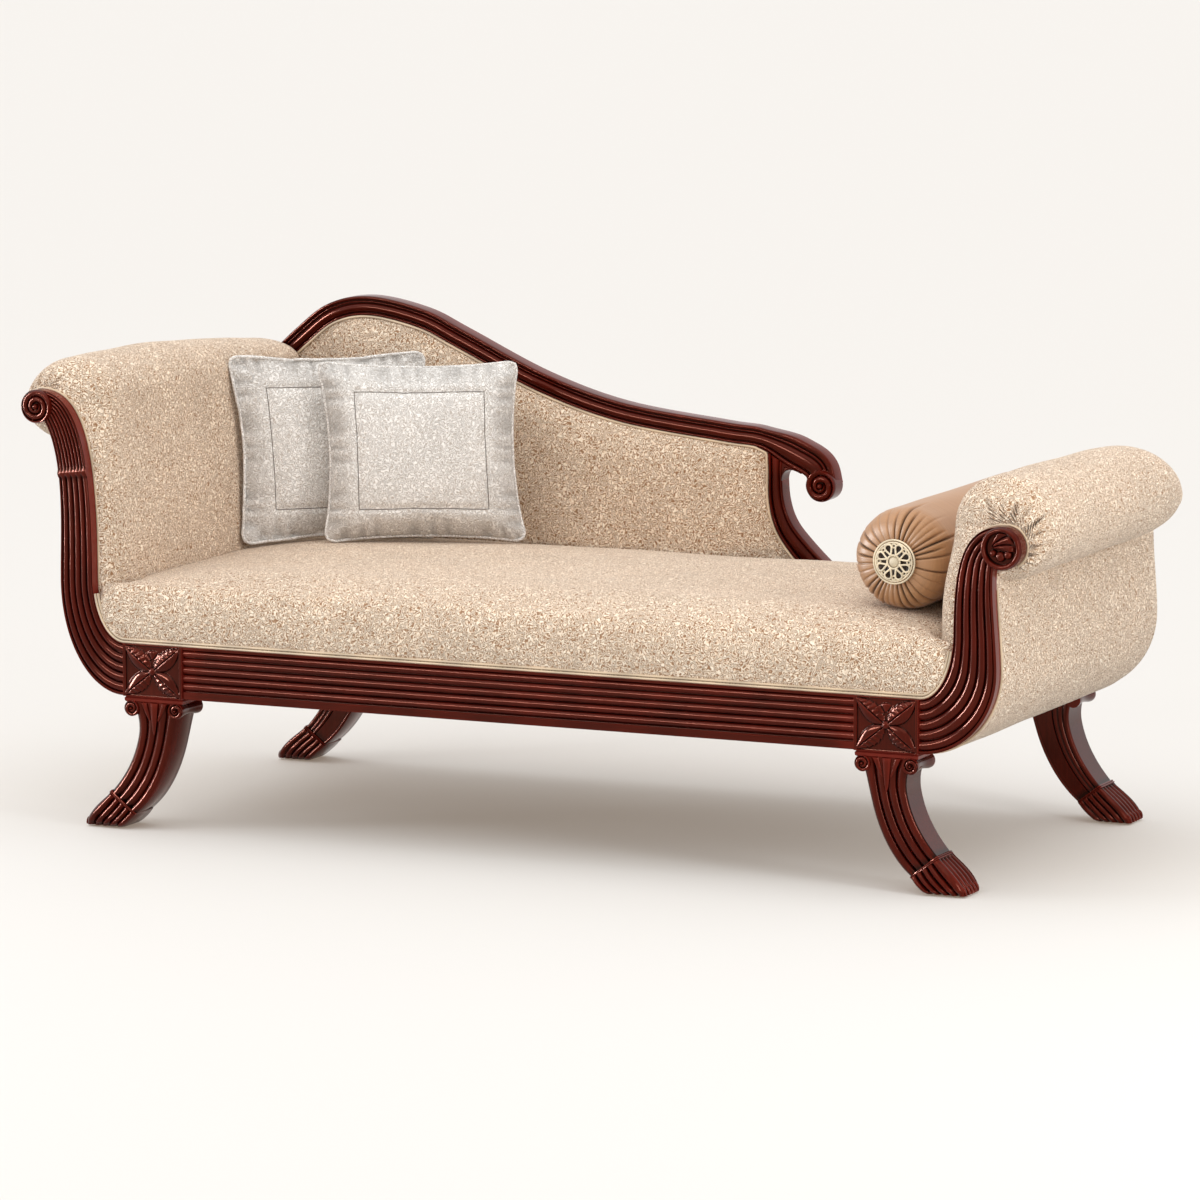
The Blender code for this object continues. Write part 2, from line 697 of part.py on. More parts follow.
def arm_post(name, arm, front, back, reeded, wood):
    """S-shaped post of an arm; front ones are reeded and end in a carved volute."""
    place = arm_place(arm)
    outer = outer_edge(arm)
    inner = inner_edge(arm)
    if reeded:
        face = [(share, front + depth * REED_RELIEF) for share, depth in reeds(POST_REEDS)]
        post = loft(name, ribbon(outer, inner, face, flat(back), place), wood)
        volute(post, place, arm.scroll, arm.scroll_radius, front, back, wood)
        return
    outer = beside_block(offset_line(outer, PANEL_THICKNESS + GAP))
    post = loft(name, ribbon(outer, inner, flat(front), flat(back), place), wood)
    plain_drum(post, arm, front, back, wood)


def arm_facing(name, arm, front, back, cloth):
    """Covered facing over the back of a rear post."""
    place = arm_place(arm)
    panel = loft(name, ribbon(outer_edge(arm), inner_edge(arm), flat(front), flat(back), place), cloth)
    plain_drum(panel, arm, front, back, cloth)


def turn_over(centre, half, start, steps):
    """Points over the top of a round end, from a start angle to just past its underside."""
    points = []
    for k in range(1, steps + 1):
        angle = math.radians(start - (start + 80) * k / steps)
        points.append((centre[0] + half[0] * math.cos(angle), centre[1] + half[1] * math.sin(angle)))
    return points


def arm_pad_line(arm, swell, droop):
    """Section of an arm's stuffing at one depth: inside face, roll, and the tacking line behind."""
    bend = inner_bend(arm)
    low = RAIL_TOP + GAP
    radius = arm.scroll_radius
    flush = quarter((GAP, low), bend, PAD_STEPS) + inner_stem(arm, PAD_STEPS)[1:]
    flush += turn_over(arm.scroll, (radius, radius), 90, ROLL_STEPS)
    full = quarter((GAP - arm.crown, low), (bend[0] - arm.crown, bend[1]), PAD_STEPS)
    left = (arm.roll[0] - arm.roll_half[0], arm.roll[1])
    rise = left[1] - bend[1]
    pull = (full[-1][0], bend[1] + 0.45 * rise)
    full += bezier(full[-1], pull, (left[0], left[1] - 0.35 * rise), left, PAD_STEPS)[1:]
    full += turn_over(arm.roll, arm.roll_half, 180, ROLL_STEPS)
    full = [(x, z - droop * max(0.0, z - arm.roll[1]) / arm.roll_half[1]) for x, z in full]
    face = [mix(a, b, swell) for a, b in zip(flush, full)]
    rail_top = arm_rail_top(arm)
    behind = [(point[0] + ARM_PAD_REBATE, point[1]) for point in quarter((GAP, low), bend, 4)]
    face.append((value_at(inner_edge(arm), 1, rail_top, 0) + ARM_PAD_REBATE, rail_top + GAP))
    return face + behind[::-1]


def arm_rail_top(arm):
    """Height of the arm's top rail, just under the fullest part of the roll."""
    return arm.roll[1] - arm.roll_half[1] - 0.006


def rear_post_front(arm):
    return arm.rear - BACK_THICKNESS


def arm_depths(arm):
    """Depths of the pad's sections with their swell and droop, rounded at the free ends."""
    front = POST_DEPTH + GAP
    back = rear_post_front(arm) - GAP
    swell = [math.sqrt(1 - (1 - share) ** 2) for share in DOME_SHARES]
    stations = [(front + share * ARM_PAD_ROUND, size) for share, size in zip(DOME_SHARES, swell)]
    if arm is FOOT:
        stations.append((mix_depth(front, back, 0.5), 1.0))
        rear = [(back - share * FOOT_PAD_REAR_ROUND, size) for share, size in zip(DOME_SHARES, swell)]
        stations += rear[::-1]
    else:
        stations += [(mix_depth(front, back, share), 1.0) for share in (0.4, 0.6, 0.8)]
        stations += [(back - ARM_PAD_ROUND / 2, 1.0), (back, 0.9)]
    start = mix_depth(front, back, 0.3)
    return [(y, size, arm.droop * max(0.0, (y - start) / (back - start)) ** 1.5) for y, size in stations]


def mix_depth(front, back, share):
    return front + (back - front) * share


def arms(wood, beech, cloth):
    """Posts, stuffing, covers and hidden rails of both arms."""
    for arm in (HEAD, FOOT):
        place = arm_place(arm)
        rear_front = rear_post_front(arm)
        rear_back = arm.rear - FACING_THICKNESS - GAP
        arm_post(f"front_{arm.name}_arm_post", arm, 0.0, POST_DEPTH, True, wood)
        arm_post(f"rear_{arm.name}_arm_post", arm, rear_front, rear_back, False, beech)
        arm_facing(f"{arm.name}_arm_rear_facing", arm, arm.rear - FACING_THICKNESS, arm.rear, cloth)
        rings = []
        for y, swell, droop in arm_depths(arm):
            rings.append([place(reach, y, z) for reach, z in arm_pad_line(arm, swell, droop)])
        loft(arm.name + "_arm_pad", rings, cloth)
        top = arm_rail_top(arm)
        outer = [point for point in outer_edge(arm) if point[1] < top]
        outer.append((value_at(outer_edge(arm)[BEND_STEPS:], 1, top, 0), top))
        under = beside_block(offset_line(outer, PANEL_THICKNESS))
        panel = ribbon(outer, under, flat(POST_DEPTH + GAP), flat(rear_back), place)
        loft(arm.name + "_arm_outside_panel", panel, cloth)
        for label, z in (("top", top - ARM_RAIL_HEIGHT), ("tacking", RAIL_TOP + 0.065)):
            inside = max(value_at(inner_edge(arm), 1, h, 0) for h in (z, z + ARM_RAIL_HEIGHT))
            reach = inside + ARM_PAD_REBATE + 2 * GAP
            a = place(reach, POST_DEPTH + GAP, z)
            b = place(reach + ARM_RAIL_WIDTH, rear_front - GAP, z + ARM_RAIL_HEIGHT)
            low = tuple(min(pair) for pair in zip(a, b))
            high = tuple(max(pair) for pair in zip(a, b))
            box(f"{arm.name}_arm_{label}_rail", low, high, beech)


def crest_lines():
    """Upper and lower edges of the crest, from the head post to the scroll."""
    post = inner_edge(HEAD)
    a = (-BLOCK_OUTER - post[-6][0], post[-6][1])
    b = (-BLOCK_OUTER - post[-3][0], post[-3][1])
    run = (b[0] - a[0], b[1] - a[1])
    length = math.hypot(*run)
    away = (run[1] / length, -run[0] / length)
    bulge = max(away[0] * (-BLOCK_OUTER - p[0] - a[0]) + away[1] * (p[1] - a[1]) for p in post[-7:-1])
    clear = bulge + 2 * GAP
    a = (a[0] + away[0] * clear, a[1] + away[1] * clear)
    b = (b[0] + away[0] * clear, b[1] + away[1] * clear)
    hump = ((-0.585, 0.882), (-0.540, 0.970), (-0.484, 1.0), (-0.408, 0.964), (-0.349, 0.897))
    fall = ((-0.233, 0.760), (-0.117, 0.670), (0.027, 0.622), (0.085, 0.606))
    line = [mix(a, b, 0.5)]
    line += [(x * BLOCK_SPACING, RAIL_TOP + rise * CREST_RISE) for x, rise in hump + fall]
    r = CREST_SCROLL_RADIUS
    line.append((CREST_SCROLL_X - 1.65 * r, CREST_SCROLL_HEIGHT + 1.9 * r))
    line.append((CREST_SCROLL_X - 0.35 * r, CREST_SCROLL_HEIGHT + 1.12 * r))
    line.append((CREST_SCROLL_X + 0.05 * r, CREST_SCROLL_HEIGHT - 0.1 * r))
    middle = smooth_line(line, 3)

    def half_width(_, point):
        share = min(max((point[0] - CREST_SCROLL_X + 4.2 * r) / (2.4 * r), 0.0), 1.0)
        return CREST_WIDTH / 2 + (0.98 * r - CREST_WIDTH / 2) * share * share * (3 - 2 * share)
    upper = offset_line(middle, half_width)
    lower = offset_line(middle, lambda share, point: -half_width(share, point))
    upper[0] = b
    lower[0] = a
    return upper, lower


def crest(wood):
    """Moulded crest rail with its falling scroll."""
    profile = ((0.0, 0.006), (0.08, 0.001), (0.24, 0.001), (0.31, 0.006), (0.36, 0.001), (0.41, 0.006),
               (0.52, 0.001), (0.70, 0.001), (0.80, 0.007), (0.89, 0.001), (1.0, 0.007))
    face = [(share, BACK_FRONT + depth) for share, depth in profile]
    back = [(0.0, FRAME_DEPTH - 0.004), (0.1, FRAME_DEPTH), (0.9, FRAME_DEPTH), (1.0, FRAME_DEPTH - 0.004)]
    upper, lower = crest_lines()
    rail = loft("crest_rail", ribbon(upper, lower, face, back, world), wood)
    centre = (CREST_SCROLL_X, CREST_SCROLL_HEIGHT)
    volute(rail, world, centre, CREST_SCROLL_RADIUS, BACK_FRONT, FRAME_DEPTH, wood)


def stile_lines():
    """Left and right edges of the end stile, from under the crest to the rear rail."""
    lower = [point for point in crest_lines()[1] if point[0] > 0]
    top_x = CREST_SCROLL_X - STILE_TOP_INSET
    half = STILE_WIDTH / 2
    foot = (top_x + STILE_FOOT_RUN, RAIL_TOP + GAP)
    rise = value_at(lower, 0, top_x, 1) - foot[1]
    shares = ((0.0, 0.93), (0.016, 0.72), (0.095, 0.56), (0.263, 0.42), (0.553, 0.24), (1.0, 0.0))
    controls = [(top_x + run * STILE_FOOT_RUN, foot[1] + up * rise) for run, up in shares]
    middle = smooth_line(controls, 3)
    left = offset_line(middle, lambda share, point: -half * (0.9 + 0.7 * share))
    right = offset_line(middle, lambda share, point: half * (0.9 + 0.7 * share))
    for edge, shift in ((left, -half), (right, half)):
        edge[0] = (top_x + shift, value_at(lower, 0, top_x + shift, 1) - 3 * GAP)
        edge[-1] = (foot[0] + 1.7 * shift, foot[1])
    return left, right


def stile(wood):
    """End stile of the back, beaded on both edges."""
    bead = ((0.0, 0.006), (0.10, 0.001), (0.20, 0.006))
    beads = bead + ((0.5, 0.002),) + tuple((1 - share, depth) for share, depth in reversed(bead))
    face = [(share, BACK_FRONT + depth) for share, depth in beads]
    left, right = stile_lines()
    loft("back_end_stile", ribbon(left, right, face, flat(FRAME_DEPTH), world), wood)


def back_grid(rows, low_z, side_gap):
    """Points of the back's opening: under the crest, between the head arm and the end stile."""
    lower = crest_lines()[1]
    stile_left = stile_lines()[0]
    head = inner_edge(HEAD)
    left_top = lower[0][1] - 2 * BACK_CLEARANCE
    right_top = value_at(lower, 0, stile_left[0][0], 1)
    first = -BLOCK_OUTER - value_at(head, 1, left_top, 0) + 3 * BACK_CLEARANCE
    last = stile_left[0][0] - side_gap
    inside = [x for x, _ in lower if first + 0.004 < x < last - 0.004]
    columns = [(x - first) / (last - first) for x in [first] + inside + [last]]
    grid = []
    for v in rows:
        x_right = value_at(stile_left, 1, low_z + v * (right_top - low_z), 0) - side_gap
        z_left = low_z + v * (left_top - low_z)
        x_left = -BLOCK_OUTER - value_at(head, 1, z_left, 0) + (1 + 2 * v) * BACK_CLEARANCE
        line = []
        for u in columns:
            x = x_left + u * (x_right - x_left)
            top = value_at(lower, 0, x, 1) - 2 * GAP
            line.append((x, low_z + v * (top - low_z)))
        grid.append(line)
    return grid


def slab(name, grid, front, back, material):
    """Closed panel over a grid of (x, z) points; front is a function of row share and x."""
    rows = len(grid)
    columns = len(grid[0])
    points = []
    for row, line in enumerate(grid):
        points += [(x, front(row / (rows - 1), x), z) for x, z in line]
    for line in grid:
        points += [(x, back, z) for x, z in line]
    size = rows * columns
    faces = []
    for row in range(rows - 1):
        for column in range(columns - 1):
            a = row * columns + column
            quad = (a, a + 1, a + 1 + columns, a + columns)
            faces.append(quad)
            faces.append(tuple(k + size for k in reversed(quad)))
    rim = [column for column in range(columns)]
    rim += [row * columns + columns - 1 for row in range(1, rows)]
    rim += [(rows - 1) * columns + column for column in range(columns - 2, -1, -1)]
    rim += [row * columns for row in range(rows - 2, 0, -1)]
    for a, b in zip(rim, rim[1:] + rim[:1]):
        faces.append((b, a, a + size, b + size))
    return make(name, points, faces, material)


def back(wood, beech, cloth):
    """Crest, stile and hidden bottom rail with the stuffed inside back and the outside cover."""
    crest(wood)
    stile(wood)
    left, right = stile_lines()
    z0 = RAIL_TOP + GAP
    z1 = z0 + BACK_RAIL_HEIGHT
    head = inner_edge(HEAD)
    x_left = -BLOCK_OUTER - min(value_at(head, 1, z, 0) for z in (z0, z1)) + SOFT_GAP
    rail = []
    for share in (0.0, 0.25, 0.5, 0.75, 1.0):
        z = z0 + share * (z1 - z0)
        rail.append([(x_left, z), (value_at(left, 1, z, 0) - 2 * BACK_CLEARANCE, z)])
    slab("back_bottom_rail", rail, lambda v, x: BACK_FRONT, FRAME_DEPTH - GAP, beech)
    low_z = z1 + GAP
    start = -BLOCK_OUTER - inner_bend(HEAD)[0] + HEAD_PAD_CROWN + 0.006
    end = left[0][0]

    def swell(v, x):
        across = min(max((x - start) / (end - start), 0.0), 1.0)
        side = 1 - abs(2 * across - 1) ** 5
        return BACK_FRONT + 0.004 - BACK_PAD_CROWN * side * (1 - abs(2 * v - 1) ** 4)
    grid = back_grid([k / 7 for k in range(8)], low_z, BACK_CLEARANCE)
    slab("inside_back_pad", grid, swell, BACK_FRONT + BACK_PAD_DEPTH, cloth)
    rear = FRAME_DEPTH - 0.003
    right_top = value_at(crest_lines()[1], 0, end, 1)
    marks = [(z - low_z) / (right_top - low_z) for _, z in reversed(left)]
    rows = [0.0] + [v for v in marks if 0.02 < v < 0.98] + [1.0]
    grid = back_grid(rows, low_z, 3 * GAP)
    rim = grid[0] + [line[-1] for line in grid[1:-1]]
    rim += grid[-1][::-1] + [line[0] for line in grid[-2:0:-1]]
    rings = [[(x, y, z) for x, z in rim] for y in (rear - PANEL_THICKNESS, rear)]
    loft("outside_back_panel", rings, cloth)


def seat_end(arm, z, swell):
    """Where the seat meets an arm at one height, for the arm's swell at that depth."""
    line = quarter((GAP, RAIL_TOP + GAP), inner_bend(arm), PAD_STEPS)
    reach = value_at(line, 1, z, 0)
    return arm.side * (BLOCK_OUTER + reach - arm.crown * swell - SOFT_GAP)


def strip_edges(low, high, count):
    """Edges of evenly spaced webbing strips."""
    pitch = (high - low) / count
    edges = []
    for k in range(count):
        edges += [low + (k + 0.16) * pitch, low + (k + 0.84) * pitch]
    return edges


def seat(cloth, canvas):
    """Webbing stretched on the rails and the crowned seat pad on it."""
    top = RAIL_TOP - GAP
    x0 = BLOCK_X - END_RAIL_WIDTH / 4
    y0 = RAIL_THICKNESS - RAIL_LEDGE + GAP
    xs = [-x0] + strip_edges(-BLOCK_INNER, BLOCK_INNER, 8) + [x0]
    ys = [y0] + strip_edges(BLOCK_DEPTH, FRAME_DEPTH - BLOCK_DEPTH, 4) + [FRAME_DEPTH - y0]
    work = bmesh.new()
    verts = {(i, j): work.verts.new((x, y, top)) for i, x in enumerate(xs) for j, y in enumerate(ys)}
    for i in range(len(xs) - 1):
        for j in range(len(ys) - 1):
            if i % 2 or j % 2:
                work.faces.new((verts[i, j], verts[i + 1, j], verts[i + 1, j + 1], verts[i, j + 1]))
    loose = [vert for vert in work.verts if not vert.link_faces]
    bmesh.ops.delete(work, geom=loose, context="VERTS")
    down = bmesh.ops.extrude_face_region(work, geom=work.faces[:])
    for item in down["geom"]:
        if isinstance(item, bmesh.types.BMVert):
            item.co.z -= WEB_THICKNESS
    bmesh.ops.recalc_face_normals(work, faces=work.faces)
    mesh = bpy.data.meshes.new("seat_webbing")
    work.to_mesh(mesh)
    work.free()
    mesh.materials.append(canvas)
    bpy.context.collection.objects.link(bpy.data.objects.new("seat_webbing", mesh))
    return seat_pad(cloth)


def seat_rear(x):
    """Rear edge of the seat: in front of the back, and out to the rear rail past the stile."""
    hidden = BACK_FRONT - BACK_PAD_CROWN - SOFT_GAP
    start = stile_lines()[1][-1][0] + 0.006
    share = min(max((x - start) / 0.05, 0.0), 1.0)
    share = share * share * (3 - 2 * share)
    return hidden + (FRAME_DEPTH - 0.008 - hidden) * share


def seat_pad(cloth):
    """Stuffed seat: bull-nosed in front, fitted between the arms and crowned on top."""
    columns = 22
    edge = RAIL_TOP + SEAT_EDGE_HEIGHT
    base = RAIL_TOP + GAP
    levels = ((0.0, 0.012), (0.28, 0.002), (0.58, 0.002), (0.82, 0.008), (1.0, SEAT_NOSE))
    lines = {arm: arm_depths(arm) for arm in (HEAD, FOOT)}
    rear_swell = {HEAD: 1.0, FOOT: 0.66}
    stations = sorted({round(y, 6) for arm in (HEAD, FOOT) for y, _, _ in lines[arm]})
    stations = [0.0] + [y for y in stations if y < BACK_FRONT - BACK_PAD_CROWN - 0.02] + [1.0]
    rings = []

    def spot(u, row, level_z, nose):
        y_true = nose if row == 0 else stations[row]
        ends = []
        for arm in (HEAD, FOOT):
            swell = value_at(lines[arm], 0, y_true, 1) if row else 0.0
            if y_true > lines[arm][-1][0]:
                swell = rear_swell[arm]
            ends.append(seat_end(arm, level_z, swell))
        x = ends[0] + u * (ends[1] - ends[0])
        rear = seat_rear(x)
        if row == len(stations) - 1:
            y_true = rear
        return x, y_true
    last = len(stations) - 1
    order = [(k / columns, 0) for k in range(columns + 1)]
    order += [(1.0, row) for row in range(1, last + 1)]
    order += [(k / columns, last) for k in range(columns - 1, -1, -1)]
    order += [(0.0, row) for row in range(last - 1, 0, -1)]
    for share, nose in levels:
        z = base + share * (edge - base)
        ring = []
        for u, row in order:
            x, y = spot(u, row, z, nose)
            ring.append((x, y, z))
        rings.append(ring)
    count = len(order)
    points = [point for ring in rings for point in ring]
    faces = [tuple(range(count))]
    for level in range(len(rings) - 1):
        for k in range(count):
            a = level * count + k
            b = level * count + (k + 1) % count
            faces.append((a, b, b + count, a + count))
    index = {}
    top = (len(rings) - 1) * count
    for k, (u, row) in enumerate(order):
        index[round(u * columns), row] = top + k
    for row in range(1, last):
        for column in range(1, columns):
            u = column / columns
            x, y = spot(u, row, edge, SEAT_NOSE)
            front_share = min((y - SEAT_NOSE) / SEAT_FRONT_ROLL, 1.0)
            rear_share = min(max(seat_rear(x) - y, 0.0) / SEAT_REAR_FALL, 1.0)
            side = 1 - (2 * u - 1) ** (SEAT_HEAD_FULLNESS if u < 0.5 else SEAT_FOOT_FULLNESS)
            crown = SEAT_HEAD_CROWN + (SEAT_FOOT_CROWN - SEAT_HEAD_CROWN) * u
            rise = crown * side * (1 - (1 - front_share) ** 2.2) * (1 - (1 - rear_share) ** 2.2)
            index[column, row] = len(points)
            points.append((x, y, edge + rise))
    for row in range(last):
        for column in range(columns):
            corners = ((column, row), (column + 1, row), (column + 1, row + 1), (column, row + 1))
            faces.append(tuple(index[key] for key in corners))
    return make("seat_pad", points, faces, cloth)


def surface(obj):
    """Search tree of a piece as it was made, and points spread along its edges."""
    mesh = obj.data
    mesh.calc_loop_triangles()
    points = [vert.co.copy() for vert in mesh.vertices]
    tree = BVHTree.FromPolygons(points, [tuple(face.vertices) for face in mesh.loop_triangles])
    spread = []
    for edge in mesh.edges:
        a, b = (points[k] for k in edge.vertices)
        spread += [a.lerp(b, share / 6) for share in range(7)]
    return tree, spread


def settle(pieces, ground):
    """Lowers pieces together until the first of them rests on the ground piece."""
    ground_tree, ground_points = surface(ground)
    down = Vector((0, 0, -1))
    falls = []
    for piece in pieces:
        tree, points = surface(piece)
        falls += [ground_tree.ray_cast(point, down)[3] for point in points]
        falls += [tree.ray_cast(point, -down)[3] for point in ground_points]
    drop = min(fall for fall in falls if fall is not None) - SETTLE_GAP
    for piece in pieces:
        for vert in piece.data.vertices:
            vert.co.z -= drop


def pillow(cushion, foot, cloth):
    """Square cushion with a full crown, drawn-in sides and a stitched inner square."""
    stitch = 1 - 2 * PILLOW_STITCH_INSET / PILLOW_WIDTH
    half_line = [0.0, 0.32, stitch - 0.055, stitch, stitch + 0.055, 0.83, 0.95, 1.0]
    line = [-value for value in half_line[:0:-1]] + half_line
    turn = cushion.turn
    lean = cushion.lean
    across = (math.cos(turn), math.sin(turn), 0.0)
    up = (-math.sin(turn) * math.sin(lean), math.cos(turn) * math.sin(lean), math.cos(lean))
    normal = (math.sin(turn) * math.cos(lean), -math.cos(turn) * math.cos(lean), math.sin(lean))
    count = len(line)
    points = []
    index = {}
    for face in (1, -1):
        for i, u in enumerate(line):
            for j, v in enumerate(line):
                border = i in (0, count - 1) or j in (0, count - 1)
                if border and face == -1:
                    index[face, i, j] = index[1, i, j]
                    continue
                a = PILLOW_WIDTH / 2 * u * (1 - 0.055 * (1 - v * v))
                b = cushion.height / 2 * v * (1 - 0.055 * (1 - u * u))
                crown = ((1 - u ** 4) * (1 - v ** 4)) ** 0.62
                groove = min(abs(max(abs(u), abs(v)) - stitch) / 0.05, 1.0)
                out = cushion.crown * crown - 0.004 * (1 - groove)
                if face == -1:
                    out = -PILLOW_BACK_CROWN * crown
                rise = cushion.height / 2 + b
                point = tuple(foot[k] + across[k] * a + up[k] * rise + normal[k] * out for k in range(3))
                index[face, i, j] = len(points)
                points.append(point)
    faces = []
    for face in (1, -1):
        for i in range(count - 1):
            for j in range(count - 1):
                corners = ((i, j), (i + 1, j), (i + 1, j + 1), (i, j + 1))
                faces.append(tuple(index[face, a, b] for a, b in corners[::face]))
    return make(cushion.name, points, faces, cloth)


def bolster_place():
    """Axis of the bolster and the depth of its front end."""
    inside = seat_end(FOOT, RAIL_TOP + SEAT_EDGE_HEIGHT, 1.0)
    x = inside - BOLSTER_RADIUS - 0.002
    z = RAIL_TOP + SEAT_EDGE_HEIGHT + SEAT_FOOT_CROWN + BOLSTER_RADIUS + 0.01
    return x, z, BOLSTER_SETBACK


def bolster(seat_piece, satin, gilt):
    """Round bolster with gathered ends and a rosette on each, lying on the seat."""
    x, z, front = bolster_place()
    back = front + BOLSTER_LENGTH
    profile = [(0.010, 0.30), (0.004, 0.45), (0.006, 0.62), (0.016, 0.80), (0.036, 0.94), (0.066, 1.0)]
    stations = [(front + depth, size, size < 0.99) for depth, size in profile]
    stations += [(back - depth, size, size < 0.99) for depth, size in reversed(profile)]
    sides = 2 * BOLSTER_PLEATS
    rings = []
    for y, size, gathered in stations:
        ring = []
        for k in range(sides):
            angle = 2 * math.pi * k / sides
            radius = BOLSTER_RADIUS * size - (0.0022 if gathered and k % 2 else 0.0)
            ring.append((x + radius * math.cos(angle), y, z + radius * math.sin(angle)))
        rings.append(ring)
    pieces = [loft("bolster", rings, satin)]
    for label, face, way in (("front", front + 0.010 - GAP, -1), ("rear", back - 0.010 + GAP, 1)):
        petals = ((0.0, 0.34), (0.30, 0.70), (0.75, 1.0), (1.0, 0.9))
        ring_sizes = petals + ((0.85, 0.42), (1.25, 0.30), (1.45, 0.14))
        steps = 24
        rings = []
        for depth, size in ring_sizes:
            ring = []
            for k in range(steps):
                angle = 2 * math.pi * k / steps
                petal = 1 + (0.09 * math.cos(8 * angle) if size > 0.5 else 0.0)
                radius = ROSETTE_RADIUS * size * petal
                y = face + way * (0.0035 + depth * ROSETTE_THICKNESS if depth else 0.0)
                ring.append((x + radius * math.cos(angle), y, z + radius * math.sin(angle)))
            rings.append(ring)
        pieces.append(loft(f"bolster_{label}_rosette", rings, gilt))
    settle(pieces, seat_piece)


def loose_cushions(seat_piece, cloth):
    """Two square cushions that lean in the head corner, the right one in front."""
    edge = RAIL_TOP + SEAT_EDGE_HEIGHT
    z = edge + 2 * SEAT_FOOT_CROWN
    left = LEFT_CUSHION
    half = PILLOW_WIDTH / 2
    x = seat_end(HEAD, edge, 1.0) + half * math.cos(left.turn) + 0.004
    depth = half * math.sin(left.turn) + left.height * math.cos(left.turn) * math.sin(left.lean)
    y = BACK_FRONT - BACK_PAD_CROWN - depth - LEFT_PILLOW_STANDOFF
    foot = (x, y, z)
    turn = RIGHT_CUSHION.turn
    ahead = PILLOW_BACK_CROWN + left.crown + PILLOW_SPACING
    right_x = x + math.sin(turn) * ahead + math.cos(turn) * PILLOW_SHIFT
    right_y = y - math.cos(turn) * ahead + math.sin(turn) * PILLOW_SHIFT
    right = pillow(RIGHT_CUSHION, (right_x, right_y, z), cloth)
    left = pillow(LEFT_CUSHION, foot, cloth)
    settle([right], seat_piece)
    settle([left], seat_piece)


def dust_cover(canvas):
    """Thin lining under the seat frame."""
    x = BLOCK_INNER - 0.004
    z = RAIL_BOTTOM - GAP
    low = (-x, 0.012, z - COVER_THICKNESS)
    high = (x, FRAME_DEPTH - 0.012, z)
    box("dust_cover", low, high, canvas)


def centre_on_floor():
    """Moves the whole so that the middle of its box stands over the origin."""
    bpy.context.view_layer.update()
    graph = bpy.context.evaluated_depsgraph_get()
    corners = []
    nodes = [obj for obj in bpy.data.objects if obj.type == "MESH"]
    for obj in nodes:
        if not obj.hide_render:
            corners += [tuple(corner) for corner in obj.evaluated_get(graph).bound_box]
    root = bpy.data.objects.new("chaise", None)
    bpy.context.collection.objects.link(root)
    for obj in nodes:
        obj.parent = root
    for axis in (0, 1):
        values = [corner[axis] for corner in corners]
        root.location[axis] = -(min(values) + max(values)) / 2
    bpy.context.view_layer.update()


def main():
    clear_scene()
    wood = finish("mahogany", (0.115, 0.022, 0.012), 0.28)
    beech = finish("beech", (0.42, 0.27, 0.15), 0.6)
    cloth = finish("beige_chenille", (0.55, 0.42, 0.30), 0.9)
    silver = finish("silver_chenille", (0.45, 0.44, 0.43), 0.8)
    satin = finish("tan_satin", (0.42, 0.28, 0.17), 0.5)
    gilt = finish("gilt_cord", (0.62, 0.48, 0.27), 0.5)
    canvas = finish("black_canvas", (0.03, 0.03, 0.03), 0.9)
    steel = finish("bolt_steel", (0.5, 0.5, 0.5), 0.35, 1.0)
    plastic = finish("glide", (0.015, 0.015, 0.015), 0.6)
    seat_frame(wood, beech, steel, plastic)
    arms(wood, beech, cloth)
    back(wood, beech, cloth)
    seat_piece = seat(cloth, canvas)
    dust_cover(canvas)
    loose_cushions(seat_piece, silver)
    bolster(seat_piece, satin, gilt)
    centre_on_floor()


main()
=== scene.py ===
"""Finishes, carving and upholstery for the scroll-ended chaise longue, fitted to its CAD frame."""
import math
from collections import namedtuple

import bpy
import bmesh
import numpy as np
from bpy.props import FloatProperty, FloatVectorProperty, IntProperty, PointerProperty
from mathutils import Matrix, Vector, noise

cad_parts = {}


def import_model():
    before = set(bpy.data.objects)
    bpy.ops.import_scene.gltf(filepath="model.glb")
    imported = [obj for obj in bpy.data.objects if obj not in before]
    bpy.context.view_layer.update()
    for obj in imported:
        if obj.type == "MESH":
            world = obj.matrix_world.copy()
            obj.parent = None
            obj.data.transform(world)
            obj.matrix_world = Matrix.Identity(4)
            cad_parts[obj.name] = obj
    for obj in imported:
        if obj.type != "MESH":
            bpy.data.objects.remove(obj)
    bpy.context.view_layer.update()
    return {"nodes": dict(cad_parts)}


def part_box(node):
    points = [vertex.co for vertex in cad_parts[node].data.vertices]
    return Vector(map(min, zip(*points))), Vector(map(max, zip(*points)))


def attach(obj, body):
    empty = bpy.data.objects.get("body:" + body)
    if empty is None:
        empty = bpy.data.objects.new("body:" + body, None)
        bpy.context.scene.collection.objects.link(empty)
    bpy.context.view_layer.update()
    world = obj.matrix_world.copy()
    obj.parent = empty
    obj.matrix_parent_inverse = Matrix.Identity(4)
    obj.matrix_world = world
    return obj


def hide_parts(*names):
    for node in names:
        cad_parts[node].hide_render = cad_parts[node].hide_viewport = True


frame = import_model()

bl_info = {
    "name": "Carved chaise longue",
    "version": (1, 0, 0),
    "blender": (4, 5, 0),
    "location": "3D View > Sidebar > Chaise",
    "description": "Carving, polish and upholstery on the frame of a scroll-ended chaise longue",
    "category": "Object",
}

